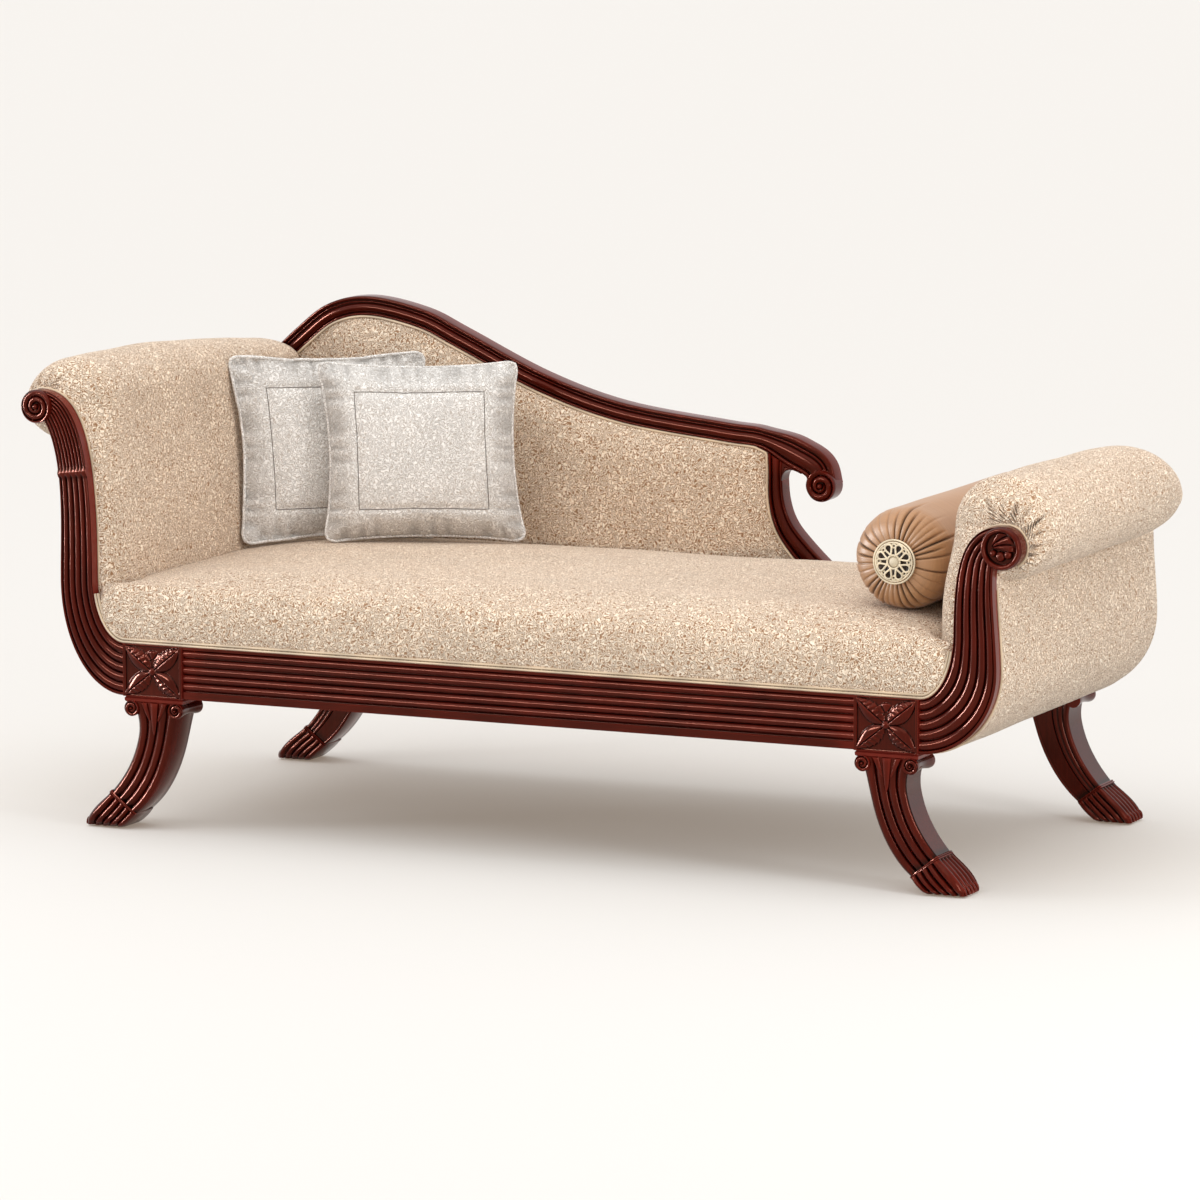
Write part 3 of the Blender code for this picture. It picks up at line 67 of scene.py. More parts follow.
# Sizes of the frame, as in the part's source; y is 0 at the face of the front rail
BLOCK_X = 0.736
BLOCK_WIDTH = 0.123
BLOCK_DEPTH = 0.060
BLOCK_PROUD = 0.003
BLOCK_OUTER = BLOCK_X + BLOCK_WIDTH / 2
BLOCK_INNER = BLOCK_X - BLOCK_WIDTH / 2
FRAME_DEPTH = 0.900
RAIL_BOTTOM = 0.255
RAIL_HEIGHT = 0.098
RAIL_TOP = RAIL_BOTTOM + RAIL_HEIGHT
RAIL_THICKNESS = 0.036
RAIL_LEDGE = 0.016
POST_DEPTH = 0.024
GAP = 0.0003
INNER_BEND = RAIL_TOP + 0.120
PANEL_THICKNESS = 0.008
FACING_THICKNESS = 0.006
BACK_THICKNESS = 0.0375
BACK_FRONT = FRAME_DEPTH - BACK_THICKNESS
CREST_RISE = 0.554
CREST_WIDTH = 0.038
CREST_SCROLL = (0.249, 0.603)
CREST_RADIUS = 0.030
STILE_WIDTH = 0.030
BACK_RAIL_HEIGHT = 0.038
BACK_PAD_CROWN = 0.024
LEG_FRONT = 0.003
LEG_DEPTH = 0.080
LEG_TOP_WIDTH = 0.075
LEG_TOP = RAIL_BOTTOM - GAP
ANKLE_HEIGHT = 0.072
ABACUS_HEIGHT = 0.012
CAPITAL_WIDTH = 0.122
CAPITAL_RADIUS = 0.0150
GLIDE_HEIGHT = 0.003
ARM_PAD_ROUND = 0.075
FOOT_PAD_REAR_ROUND = 0.150
ARM_PAD_REBATE = 0.014
SEAT_EDGE = RAIL_TOP + 0.108
SEAT_NOSE = 0.021
SEAT_FRONT_ROLL = 0.130
SEAT_REAR_FALL = 0.380
SEAT_CORNER = 0.032
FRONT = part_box("left_arm_rear_facing")[1].y - FRAME_DEPTH

Arm = namedtuple("Arm", "name side rear belly stem scroll radius roll roll_half crown droop")
HEAD = Arm("left", -1, FRAME_DEPTH, (0.133, 0.465), 0.067, (0.178, 0.789), 0.031,
           (0.1444, 0.795), (0.088, 0.080), 0.038, 0.040)
FOOT = Arm("right", 1, FRAME_DEPTH - 0.068, (0.146, 0.407), 0.082, (0.155, 0.632), 0.038,
           (0.1324, 0.6575), (0.100, 0.0925), 0.052, 0.016)
HEAD_COLLAR = 0.668
COLLAR_HALF = 0.007
COLLAR_PROUD = 0.0035
Leg = namedtuple("Leg", "sweep foot setback ankle")
LEGS = {"front": Leg(0.150, 0.079, 0.057, 0.064), "rear": Leg(0.162, 0.070, 0.065, 0.054)}


def linear(code):
    """Linear colour of an sRGB hex code."""
    values = [int(code[k:k + 2], 16) / 255 for k in (1, 3, 5)]
    return tuple(v / 12.92 if v <= 0.04045 else ((v + 0.055) / 1.055) ** 2.4 for v in values)


def size(name, words, default):
    return FloatProperty(name=name, description=words, default=default, unit="LENGTH", precision=4)


def colour(name, words, code):
    return FloatVectorProperty(name=name, description=words, default=linear(code), size=3, subtype="COLOR")


class ChaiseSizes(bpy.types.PropertyGroup):
    """Sizes of the carving and the sewing"""
    reed_relief: size("Reed relief", "Depth of the grooves between reeds", 0.0068)
    leaf_relief: size("Leaf relief", "Height of the carved leaves on the blocks", 0.0080)
    volute_relief: size("Volute relief", "Depth of the carving in the scroll ends", 0.0072)
    piping: size("Piping", "Radius of one line of piping", 0.0024)
    gather_depth: size("Gather depth", "Depth of the gathers in the arm covers", 0.0090)
    seat_head_crown: size("Seat crown, head", "Rise of the seat at the head end", 0.025)
    seat_foot_crown: size("Seat crown, foot", "Rise of the seat at the foot end", 0.038)
    pillow_cap: size("Pillow swell", "Most that the filling may push a pillow's cover", 0.008)
    bolster_pleats: IntProperty(name="Bolster pleats", description="Pleats at each end", default=32, min=8)


class ChaiseColours(bpy.types.PropertyGroup):
    """Colours of the finishes"""
    mahogany: colour("Mahogany", "Body colour of the polished wood", "#581309")
    # Painted shade: the colour that the hollows of the carving are darkened towards
    mahogany_hollow_shade: colour("Mahogany recess", "Painted shade in the carving", "#080101")
    ground: colour("Chenille ground", "Ground of the beige cover", "#DEC0A2")
    fleck: colour("Chenille fleck", "Raised light pile", "#F7E8D3")
    shade: colour("Chenille shade", "Gaps between the pile", "#96704F")
    piping: colour("Piping", "Cream piping", "#CDB392")
    silver: colour("Pillow ground", "Silver-grey pillow cover", "#EAE5DF")
    silver_fleck: colour("Pillow fleck", "Light pile of the pillows", "#F8F4EF")
    stitch: colour("Stitching", "Thread on the pillows", "#6E645B")
    satin: colour("Satin", "Tan satin of the bolster", "#AC7D53")
    cord: colour("Rosette cord", "Cream and gold cord", "#F0DDBB")
    floor: colour("Floor", "Pale studio floor", "#BCBEBE")


def node(tree, kind, inputs=None, ramp=None, **settings):
    """Adds a shader node with its settings; an input is a value or another node's output."""
    new = tree.nodes.new("ShaderNode" + kind)
    for key, value in settings.items():
        setattr(new, key, value)
    for key, value in (inputs or {}).items():
        if isinstance(value, bpy.types.NodeSocket):
            tree.links.new(value, new.inputs[key])
        else:
            new.inputs[key].default_value = value
    if ramp:
        stops = new.color_ramp.elements
        for stop, (place, shade) in ((stops[0], ramp[0]), (stops[1], ramp[-1])):
            stop.position = place
            stop.color = (shade, shade, shade, 1.0)
        for place, shade in ramp[1:-1]:
            stops.new(place).color = (shade, shade, shade, 1.0)
    return new.outputs


def blank(name):
    """New material, its node tree and its main shader."""
    made = bpy.data.materials.new(name)
    made.use_nodes = True
    return made, made.node_tree, made.node_tree.nodes["Principled BSDF"]


def opaque(rgb):
    return (*rgb, 1.0)


def per_metre(millimetres):
    """Pattern scale for one feature in so many millimetres."""
    return 1000.0 / millimetres


PILE_WINDINGS = 44.0
BAND_STEP = 20.0


def polished_mahogany(colours, name, grain_axis):
    """Mahogany, carved and French polished: a deep red-brown with long darker grain, with painted shade
    that makes the hollows almost black, a painted highlight on the convex crowns, and a clear glossy
    polish."""
    made, tree, shader = blank(name)
    place = node(tree, "TexCoord")["Object"]
    across = per_metre(4.0)
    along = per_metre(130.0)
    stretch = [along if axis == grain_axis else across for axis in range(3)]
    mapped = node(tree, "Mapping", {"Vector": place, "Scale": stretch})["Vector"]
    grain = node(tree, "TexNoise", {"Vector": mapped, "Scale": 1.0, "Detail": 4.0, "Roughness": 0.6})["Fac"]
    cloud = node(tree, "TexNoise", {"Vector": place, "Scale": per_metre(90.0), "Detail": 2.0})["Fac"]
    both = node(tree, "Math", {0: grain, 1: cloud}, operation="MULTIPLY")["Value"]
    light = node(tree, "ValToRGB", {"Fac": both}, [(0.12, 0.0), (0.42, 1.0)])["Color"]
    body = opaque(colours.mahogany)
    dark = opaque(c * 0.45 for c in colours.mahogany)
    wood = node(tree, "Mix", {0: light, 6: dark, 7: body}, data_type="RGBA")[2]
    # Painted shade: a ramp on pointiness darkens the hollows fully, and the flat faces partly, towards the
    # recess colour, in place of the shade that falls in the carving
    point = node(tree, "NewGeometry")["Pointiness"]
    open_face = node(tree, "ValToRGB", {"Fac": point}, [(0.46, 0.0), (0.498, 0.58), (0.53, 1.0)])["Color"]
    hollow_shaded = node(tree, "Mix", {0: open_face, 6: opaque(colours.mahogany_hollow_shade), 7: wood}, data_type="RGBA")[2]
    # Painted highlight: convex crowns and arrises, found by pointiness, are lightened towards a brighter
    # mahogany in place of the shine the polish catches there
    edge = node(tree, "ValToRGB", {"Fac": point}, [(0.53, 0.0), (0.62, 0.5)])["Color"]
    painted_highlight = opaque(min(1.0, c * 2.1 + 0.01) for c in colours.mahogany)
    highlighted_wood = node(tree, "Mix", {0: edge, 6: hollow_shaded, 7: painted_highlight}, data_type="RGBA")[2]
    rough = node(tree, "MapRange", {"Value": cloud, "To Min": 0.10, "To Max": 0.20})["Result"]
    bump = node(tree, "Bump", {"Height": grain, "Strength": 0.05, "Distance": 0.0008})["Normal"]
    tree.links.new(highlighted_wood, shader.inputs["Base Color"])
    tree.links.new(rough, shader.inputs["Roughness"])
    tree.links.new(bump, shader.inputs["Normal"])
    shader.inputs["IOR"].default_value = 1.5
    shader.inputs["Specular IOR Level"].default_value = 0.32
    shader.inputs["Specular Tint"].default_value = opaque(linear("#FFA48C"))
    return made


def sawn_beech(name):
    """Beech, sawn and left bare: pale pink-brown with short flecks, dull."""
    made, tree, shader = blank(name)
    place = node(tree, "TexCoord")["Object"]
    stretch = (per_metre(25.0), per_metre(25.0), per_metre(3.0))
    mapped = node(tree, "Mapping", {"Vector": place, "Scale": stretch})["Vector"]
    fleck = node(tree, "TexNoise", {"Vector": mapped, "Scale": 1.0, "Detail": 3.0})["Fac"]
    light = opaque(linear("#C79A6E"))
    dark = opaque(linear("#A3764D"))
    wood = node(tree, "Mix", {0: fleck, 6: dark, 7: light}, data_type="RGBA")[2]
    bump = node(tree, "Bump", {"Height": fleck, "Strength": 0.2, "Distance": 0.001})["Normal"]
    tree.links.new(wood, shader.inputs["Base Color"])
    tree.links.new(bump, shader.inputs["Normal"])
    shader.inputs["Roughness"].default_value = 0.7
    return made


def chenille(name, ground, fleck, shade, worm, height, cloudy):
    """Chenille, woven with a raised winding pile: light worm-like flecks between dark gaps, soft and
    matt with a faint sheen. The pile, in millimetres, is drawn a little coarser than life so that it
    shows."""
    made, tree, shader = blank(name)
    place = node(tree, "TexCoord")["Object"]
    curl = node(tree, "TexNoise", {"Vector": place, "Scale": per_metre(worm), "Detail": 0.8,
                                   "Roughness": 0.4, "Distortion": 0.5})["Fac"]
    turns = node(tree, "Math", {0: curl, 1: PILE_WINDINGS}, operation="MULTIPLY")["Value"]
    wave = node(tree, "Math", {0: turns}, operation="SINE")["Value"]
    thread = node(tree, "TexNoise", {"Vector": place, "Scale": per_metre(4.5), "Detail": 1.0})["Fac"]
    broken = node(tree, "MapRange", {"Value": thread, "From Min": 0.35, "From Max": 0.6,
                                     "To Min": 0.35})["Result"]
    crest = node(tree, "MapRange", {"Value": wave, "From Min": -0.1, "From Max": 0.8},
                 interpolation_type="SMOOTHSTEP")["Result"]
    pile = node(tree, "Math", {0: crest, 1: broken}, operation="MULTIPLY")["Value"]
    gap = node(tree, "MapRange", {"Value": wave, "From Min": -0.22, "From Max": -0.85},
               interpolation_type="SMOOTHSTEP")["Result"]
    wide = node(tree, "TexNoise", {"Vector": place, "Scale": per_metre(90.0), "Detail": 2.0})["Fac"]
    tone = node(tree, "MapRange", {"Value": wide, "From Min": 0.3, "From Max": 0.7, "To Min": 1.0 - cloudy,
                                   "To Max": 1.0 + cloudy})["Result"]
    dark = node(tree, "Mix", {0: gap, 6: opaque(ground), 7: opaque(shade)}, data_type="RGBA")[2]
    lit = node(tree, "Mix", {0: pile, 6: dark, 7: opaque(fleck)}, data_type="RGBA")[2]
    toned = node(tree, "HueSaturation", {"Color": lit, "Value": tone})["Color"]
    # Painted shade: each point's share of shade darkens the cloth towards a deep tone of its gap colour, in
    # gathers, folds and pillow borders
    fold_shade = node(tree, "Attribute", attribute_name="crease")["Fac"]
    cloth = node(tree, "Mix", {0: fold_shade, 6: toned, 7: opaque(c * 0.42 for c in shade)}, data_type="RGBA")[2]
    lift = node(tree, "Math", {0: pile, 1: gap}, operation="SUBTRACT")["Value"]
    bump = node(tree, "Bump", {"Height": lift, "Strength": 0.8, "Distance": height})["Normal"]
    tree.links.new(cloth, shader.inputs["Base Color"])
    tree.links.new(bump, shader.inputs["Normal"])
    shader.inputs["Roughness"].default_value = 0.88
    shader.inputs["Sheen Weight"].default_value = 0.2
    shader.inputs["Sheen Roughness"].default_value = 0.5
    shader.inputs["Specular IOR Level"].default_value = 0.25
    return made


def satin_weave(name, rgb):
    """Silk-faced satin, woven smooth: tan with a soft shine and fine ribs round the bolster, drawn at
    3 mm so that they show."""
    made, tree, shader = blank(name)
    place = node(tree, "TexCoord")["Object"]
    stretch = (per_metre(60.0), per_metre(3.0), per_metre(60.0))
    mapped = node(tree, "Mapping", {"Vector": place, "Scale": stretch})["Vector"]
    rib = node(tree, "TexNoise", {"Vector": mapped, "Scale": 1.0, "Detail": 3.0})["Fac"]
    light = opaque(min(1.0, c * 1.18) for c in rgb)
    dark = opaque(c * 0.80 for c in rgb)
    cloth = node(tree, "Mix", {0: rib, 6: dark, 7: light}, data_type="RGBA")[2]
    # Painted shade: each point's share of shade darkens the satin almost to black in the pleats and under
    # the rosettes
    fold_shade = node(tree, "Attribute", attribute_name="crease")["Fac"]
    shaded = node(tree, "Mix", {0: fold_shade, 6: cloth, 7: opaque(c * 0.10 for c in rgb)}, data_type="RGBA")[2]
    bump = node(tree, "Bump", {"Height": rib, "Strength": 0.25, "Distance": 0.0006})["Normal"]
    tree.links.new(shaded, shader.inputs["Base Color"])
    tree.links.new(bump, shader.inputs["Normal"])
    shader.inputs["Roughness"].default_value = 0.48
    shader.inputs["Sheen Weight"].default_value = 0.15
    return made


def twisted_cord(name, rgb, pitch):
    """Rayon cord, twisted from two strands: pale with a slanting shadow between strands. The bands
    repeat every 12.6 pitches, so the twist is drawn long and gives a soft change of tone."""
    made, tree, shader = blank(name)
    place = node(tree, "UVMap")["UV"]
    wave = node(tree, "TexWave", {"Vector": place, "Scale": per_metre(pitch) / BAND_STEP,
                                  "Distortion": 0.4}, wave_type="BANDS", bands_direction="DIAGONAL")["Fac"]
    dark = opaque(c * 0.75 for c in rgb)
    cord = node(tree, "Mix", {0: wave, 6: dark, 7: opaque(rgb)}, data_type="RGBA")[2]
    bump = node(tree, "Bump", {"Height": wave, "Strength": 0.6, "Distance": 0.0008})["Normal"]
    tree.links.new(cord, shader.inputs["Base Color"])
    tree.links.new(bump, shader.inputs["Normal"])
    shader.inputs["Roughness"].default_value = 0.6
    shader.inputs["Sheen Weight"].default_value = 0.2
    return made


def black_canvas(name):
    """Cotton lining, plain woven and dyed black: dull, with a soft check. The bands repeat every 6.3
    threads of 3 mm, so the weave is drawn far coarser than life."""
    made, tree, shader = blank(name)
    place = node(tree, "TexCoord")["Object"]
    threads = {"Vector": place, "Scale": per_metre(3.0) / BAND_STEP}
    warp = node(tree, "TexWave", threads, bands_direction="X")["Fac"]
    weft = node(tree, "TexWave", threads, bands_direction="Y")["Fac"]
    weave = node(tree, "Math", {0: warp, 1: weft}, operation="MULTIPLY")["Value"]
    light = opaque(linear("#3A3835"))
    cloth = node(tree, "Mix", {0: weave, 6: opaque(linear("#1B1A19")), 7: light}, data_type="RGBA")[2]
    bump = node(tree, "Bump", {"Height": weave, "Strength": 0.4, "Distance": 0.0006})["Normal"]
    tree.links.new(cloth, shader.inputs["Base Color"])
    tree.links.new(bump, shader.inputs["Normal"])
    shader.inputs["Roughness"].default_value = 0.9
    return made


def plain_steel(name):
    """Mild steel, rolled and zinc plated: grey with faint cloudy dulling."""
    made, tree, shader = blank(name)
    place = node(tree, "TexCoord")["Object"]
    cloud = node(tree, "TexNoise", {"Vector": place, "Scale": per_metre(6.0), "Detail": 3.0})["Fac"]
    light = opaque(linear("#B9BABB"))
    metal = node(tree, "Mix", {0: cloud, 6: opaque(linear("#8D8F90")), 7: light}, data_type="RGBA")[2]
    rough = node(tree, "MapRange", {"Value": cloud, "To Min": 0.3, "To Max": 0.5})["Result"]
    tree.links.new(metal, shader.inputs["Base Color"])
    tree.links.new(rough, shader.inputs["Roughness"])
    shader.inputs["Metallic"].default_value = 1.0
    return made


def moulded_nylon(name):
    """Black nylon, injection moulded: dark and slightly scuffed."""
    made, tree, shader = blank(name)
    place = node(tree, "TexCoord")["Object"]
    scuff = node(tree, "TexNoise", {"Vector": place, "Scale": per_metre(2.5), "Detail": 4.0})["Fac"]
    light = opaque(linear("#2E2C2A"))
    skin = node(tree, "Mix", {0: scuff, 6: opaque(linear("#121110")), 7: light}, data_type="RGBA")[2]
    rough = node(tree, "MapRange", {"Value": scuff, "To Min": 0.45, "To Max": 0.7})["Result"]
    tree.links.new(skin, shader.inputs["Base Color"])
    tree.links.new(rough, shader.inputs["Roughness"])
    return made


def finish(name):
    """The finish of that name, made when it is first asked for."""
    made = bpy.data.materials.get(name)
    if made:
        return made
    colours = bpy.context.scene.chaise_colours
    makers = {
        "polished_mahogany_long": lambda: polished_mahogany(colours, name, 0),
        "polished_mahogany_upright": lambda: polished_mahogany(colours, name, 2),
        "sawn_beech": lambda: sawn_beech(name),
        "vermicular_chenille": lambda: chenille(name, colours.ground, colours.fleck, colours.shade,
                                                9.0, 0.0009, 0.04),
        "silver_flecked_chenille": lambda: chenille(name, colours.silver, colours.silver_fleck,
                                                    linear("#BFB6AD"), 8.5, 0.0007, 0.06),
        "gathered_satin": lambda: satin_weave(name, colours.satin),
        "cream_piping": lambda: twisted_cord(name, colours.piping, 9.0),
        "gilded_cord": lambda: twisted_cord(name, colours.cord, 6.0),
        "stitch_thread": lambda: twisted_cord(name, colours.stitch, 5.0),
        "lining_canvas": lambda: black_canvas(name),
        "plain_steel": lambda: plain_steel(name),
        "moulded_nylon": lambda: moulded_nylon(name),
    }
    return makers[name]()


def mix(a, b, share):
    return tuple(p + (q - p) * share for p, q in zip(a, b))


def smooth(share):
    """Eased step from 0 to 1."""
    share = min(max(share, 0.0), 1.0)
    return share * share * (3 - 2 * share)


def bezier(p0, p1, p2, p3, steps):
    """Curve from p0 to p3 with two pulls."""
    points = []
    for k in range(steps + 1):
        t = k / steps
        s = 1 - t
        weights = (s ** 3, 3 * s * s * t, 3 * s * t * t, t ** 3)
        points.append(tuple(sum(w * p[i] for w, p in zip(weights, (p0, p1, p2, p3))) for i in (0, 1)))
    return points


def quarter(start, end, steps):
    """Quarter ellipse that leaves start level and reaches end upright."""
    points = []
    for k in range(steps + 1):
        angle = math.pi / 2 * k / steps
        points.append((start[0] + (end[0] - start[0]) * math.sin(angle),
                       end[1] - (end[1] - start[1]) * math.cos(angle)))
    return points


def smooth_line(controls, steps):
    """Curve through the control points."""
    ends = [mix(controls[1], controls[0], 2.0)] + list(controls) + [mix(controls[-2], controls[-1], 2.0)]
    points = [controls[0]]
    for k in range(1, len(ends) - 2):
        a, b, c, d = ends[k - 1:k + 3]
        out = tuple(b[i] + (c[i] - a[i]) / 6 for i in (0, 1))
        back = tuple(c[i] - (d[i] - b[i]) / 6 for i in (0, 1))
        points += bezier(b, out, back, c, steps)[1:]
    return points


def offset_line(line, distance):
    """Parallel line on the left of the way the line runs."""
    moved = []
    last = len(line) - 1
    for k, point in enumerate(line):
        a = line[max(k - 1, 0)]
        b = line[min(k + 1, last)]
        run = (b[0] - a[0], b[1] - a[1])
        length = math.hypot(*run) or 1.0
        step = distance(k / last, point) if callable(distance) else distance
        moved.append((point[0] - run[1] / length * step, point[1] + run[0] / length * step))
    return moved


def value_at(line, key, want, other):
    """Coordinate of a line where another coordinate has a wanted value."""
    ordered = sorted(line, key=lambda point: point[key])
    return float(np.interp(want, [p[key] for p in ordered], [p[other] for p in ordered]))


def even(line, count):
    """The same line in points of equal spacing; points may have two or three coordinates."""
    points = np.array(line, float)
    steps = np.linalg.norm(np.diff(points, axis=0), axis=1)
    run = np.concatenate([[0.0], np.cumsum(steps)])
    want = np.linspace(0.0, run[-1], count)
    return [tuple(row) for row in np.stack([np.interp(want, run, axis) for axis in points.T], 1)]


def paired(outer, inner, count):
    """Points along the inner line, each with the nearest point of the outer line, in order; the first
    third eases over from equal shares of both lines."""
    inner = even(inner, count)
    fine = np.array(even(outer, 900))
    reached = 0
    facing = []
    for point in inner:
        near = int(np.argmin(np.hypot(fine[:, 0] - point[0], fine[:, 1] - point[1])))
        reached = max(reached, near)
        facing.append(reached)
    share = np.linspace(0.0, 1.0, count)
    facing = np.maximum.accumulate(np.array(facing) + (len(fine) - 1 - facing[-1]) * share ** 8)
    ease = np.array([smooth(s / 0.33) for s in share])
    facing = np.maximum.accumulate(ease * facing + (1 - ease) * share * (len(fine) - 1))
    return [tuple(fine[int(round(k))]) for k in facing], inner


def outer_edge(arm):
    """Outside S of an arm, from under the block to the neck of its scroll."""
    angle = math.radians(-118)
    reach = 0.9 * arm.radius
    neck = (arm.scroll[0] + reach * math.cos(angle), arm.scroll[1] + reach * math.sin(angle))
    rise = neck[1] - arm.belly[1]
    pull = (arm.belly[0], arm.belly[1] + 0.3 * rise)
    neck_pull = (0.9 * arm.belly[0], arm.belly[1] + 0.75 * rise)
    return quarter((GAP, RAIL_BOTTOM), arm.belly, 24) + bezier(arm.belly, pull, neck_pull, neck, 36)[1:]


def inner_bend(arm):
    return (arm.belly[0] - arm.stem, INNER_BEND)


def inner_stem(arm, steps):
    """Upper part of an arm's inside line, to the crown of the scroll."""
    bend = inner_bend(arm)
    top = (arm.scroll[0], arm.scroll[1] + 0.985 * arm.radius)
    pull = (bend[0], bend[1] + 0.57 * (top[1] - bend[1]))
    top_pull = (bend[0] + 0.12 * (top[0] - bend[0]), top[1])
    return bezier(bend, pull, top_pull, top, steps)


def inner_edge(arm):
    """Inside S of an arm, from the rail's top to the crown of its scroll."""
    return quarter((GAP, RAIL_TOP), inner_bend(arm), 24) + inner_stem(arm, 36)[1:]


def arm_place(arm):
    def place(reach, y, z):
        return (arm.side * (BLOCK_OUTER + reach), y + FRONT, z)
    return place


def world(x, y, z):
    return (x, y + FRONT, z)


def round_ring(place, centre, radius, count, depth):
    """Ring of points round a centre; depth is a value or a function of the turn."""
    ring = []
    for k in range(count):
        turn = 2 * math.pi * k / count
        y = depth(turn) if callable(depth) else depth
        ring.append(place(centre[0] + radius * math.cos(turn), y, centre[1] + radius * math.sin(turn)))
    return ring


def arc(centre, radius, start, stop, steps):
    """Points of an arc after its start."""
    points = []
    for k in range(1, steps + 1):
        angle = start + (stop - start) * k / steps
        points.append((centre[0] + radius * math.cos(angle), centre[1] + radius * math.sin(angle)))
    return points


def grid_faces(columns, rows):
    """Faces over a grid of so many points."""
    starts = [row * columns + column for row in range(rows - 1) for column in range(columns - 1)]
    return [(a, a + 1, a + 1 + columns, a + columns) for a in starts]


def grid_rim(columns, rows):
    """Points round the edge of such a grid, in order."""
    top = (rows - 1) * columns
    rim = list(range(columns)) + [row * columns + columns - 1 for row in range(1, rows)]
    rim += list(range(top + columns - 2, top - 1, -1))
    return rim + [row * columns for row in range(rows - 2, 0, -1)]


def skin(rings, caps=True):
    """Points and faces over closed rings of equal length."""
    count = len(rings[0])
    points = [point for ring in rings for point in ring]
    faces = []
    for row in range(len(rings) - 1):
        for k in range(count):
            a = row * count + k
            b = row * count + (k + 1) % count
            faces.append((a, b, b + count, a + count))
    if caps:
        last = (len(rings) - 1) * count
        faces.append(tuple(range(count)))
        faces.append(tuple(range(last, last + count)))
    return points, faces


def joined(shells):
    """Several shells as one list of points and faces."""
    points = []
    faces = []
    for more_points, more_faces in shells:
        base = len(points)
        points += more_points
        faces += [tuple(k + base for k in face) for face in more_faces]
    return points, faces


def placed(name, data):
    """New object in the scene."""
    obj = bpy.data.objects.new(name, data)
    bpy.context.scene.collection.objects.link(obj)
    return obj


def made_piece(name, shells, finish_name, body="frame", replaced=(), angle=40, uv=None, shade_shares=None):
    """Piece of one or more closed shells, with its finish, body and the nodes it stands for; the last
    argument gives each point's share of painted shade, in folds and, on the pillows, towards the edges."""
    points, faces = joined(shells)
    mesh = bpy.data.meshes.new(name)
    mesh.from_pydata(points, [], faces)
    work = bmesh.new()
    work.from_mesh(mesh)
    bmesh.ops.recalc_face_normals(work, faces=work.faces)
    work.to_mesh(mesh)
    work.free()
    if uv is not None:
        layer = mesh.uv_layers.new(name="UVMap")
        for loop in mesh.loops:
            layer.data[loop.index].uv = uv[loop.vertex_index]
    if shade_shares is not None:
        # Stores each point's share of painted shade, which the cloth finishes read as the crease attribute
        mesh.attributes.new("crease", "FLOAT", "POINT").data.foreach_set("value", shade_shares)
    mesh.shade_smooth()
    mesh.set_sharp_from_angle(angle=math.radians(angle))
    mesh.materials.append(finish(finish_name))
    obj = placed(name, mesh)
    if replaced:
        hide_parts(*replaced)
    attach(obj, body)
    return obj


def tube(path, radius, sides=8, loop=False):
    """Closed tube along a path; gives its shell and, for the twist, where each point lies on it."""
    points = np.array(path, float)
    ahead = np.roll(points, -1, 0) - np.roll(points, 1, 0)
    if not loop:
        ahead[0] = points[1] - points[0]
        ahead[-1] = points[-1] - points[-2]
    ahead /= np.maximum(np.linalg.norm(ahead, axis=1, keepdims=True), 1e-9)
    side = np.cross(ahead[0], (0.31, 0.27, 0.91))
    rings = []
    places = []
    run = 0.0
    for k, (point, along) in enumerate(zip(points, ahead)):
        side = side - along * side.dot(along)
        side /= np.linalg.norm(side)
        other = np.cross(along, side)
        if k:
            run += float(np.linalg.norm(point - points[k - 1]))
        ring = []
        for j in range(sides):
            turn = 2 * math.pi * j / sides
            ring.append(tuple(point + radius * (math.cos(turn) * side + math.sin(turn) * other)))
            places.append((run, radius * (math.pi - abs(turn - math.pi))))
        rings.append(ring)
    if loop:
        shell_points, faces = skin(rings, caps=False)
        last = (len(rings) - 1) * sides
        for j in range(sides):
            faces.append((last + j, last + (j + 1) % sides, (j + 1) % sides, j))
        return (shell_points, faces), places
    return skin(rings), places


def cords(paths, radius, sides=8, loop=False):
    """Tubes along several paths, and where each of their points lies on its cord."""
    shells = []
    places = []
    for path in paths:
        shell, where = tube(path, radius, sides, loop)
        shells.append(shell)
        places += where
    return shells, places


def corded_piece(name, paths, radius, finish_name, body="frame", loop=False, sides=8):
    """Piece made of cords along several paths."""
    shells, places = cords(paths, radius, sides, loop)
    made_piece(name, shells, finish_name, body, angle=80, uv=places)


def reed_depth(share, count, low=0.0, high=1.0):
    """Depth, from 0 on a crown to 1 in a groove, across a face with round reeds between two margins."""
    if share < low or share > high:
        return 0.15
    place = (share - low) / (high - low) * count
    place -= math.floor(min(place, count - 1e-6))
    across = (2 * place - 1) ** 2
    return 0.6 * across + 0.4 * (1 - math.sqrt(max(0.0, 1 - across)))


BAND_SHARES = [k / 96 for k in range(97)]


def band_rings(outer, inner, front, back, place):
    """Rings across a band between two edge lines; front gives the depth for a ring and a share across."""
    rings = []
    for k, (a, b) in enumerate(zip(outer, inner)):
        ring = []
        for share in BAND_SHARES:
            x, z = mix(a, b, share)
            ring.append(place(x, front(k, share), z))
        for share in (1.0, 0.0):
            x, z = mix(a, b, share)
            ring.append(place(x, back, z))
        rings.append(ring)
    return rings


def scroll_end(place, centre, radius, face, back, height, radial=40, around=120):
    """Round scroll end, its face carved by a height over (share of radius, angle)."""
    rings = []
    for k in range(radial + 1):
        share = 0.02 + 0.98 * k / radial
        rings.append(round_ring(place, centre, share * radius, around,
                                lambda turn: face - height(share, turn)))
    for depth, share in ((face + 0.0015, 1.02), (face + 0.004, 1.02), (back - 0.0015, 1.0)):
        rings.append(round_ring(place, centre, share * radius, around, depth))
    return skin(rings)


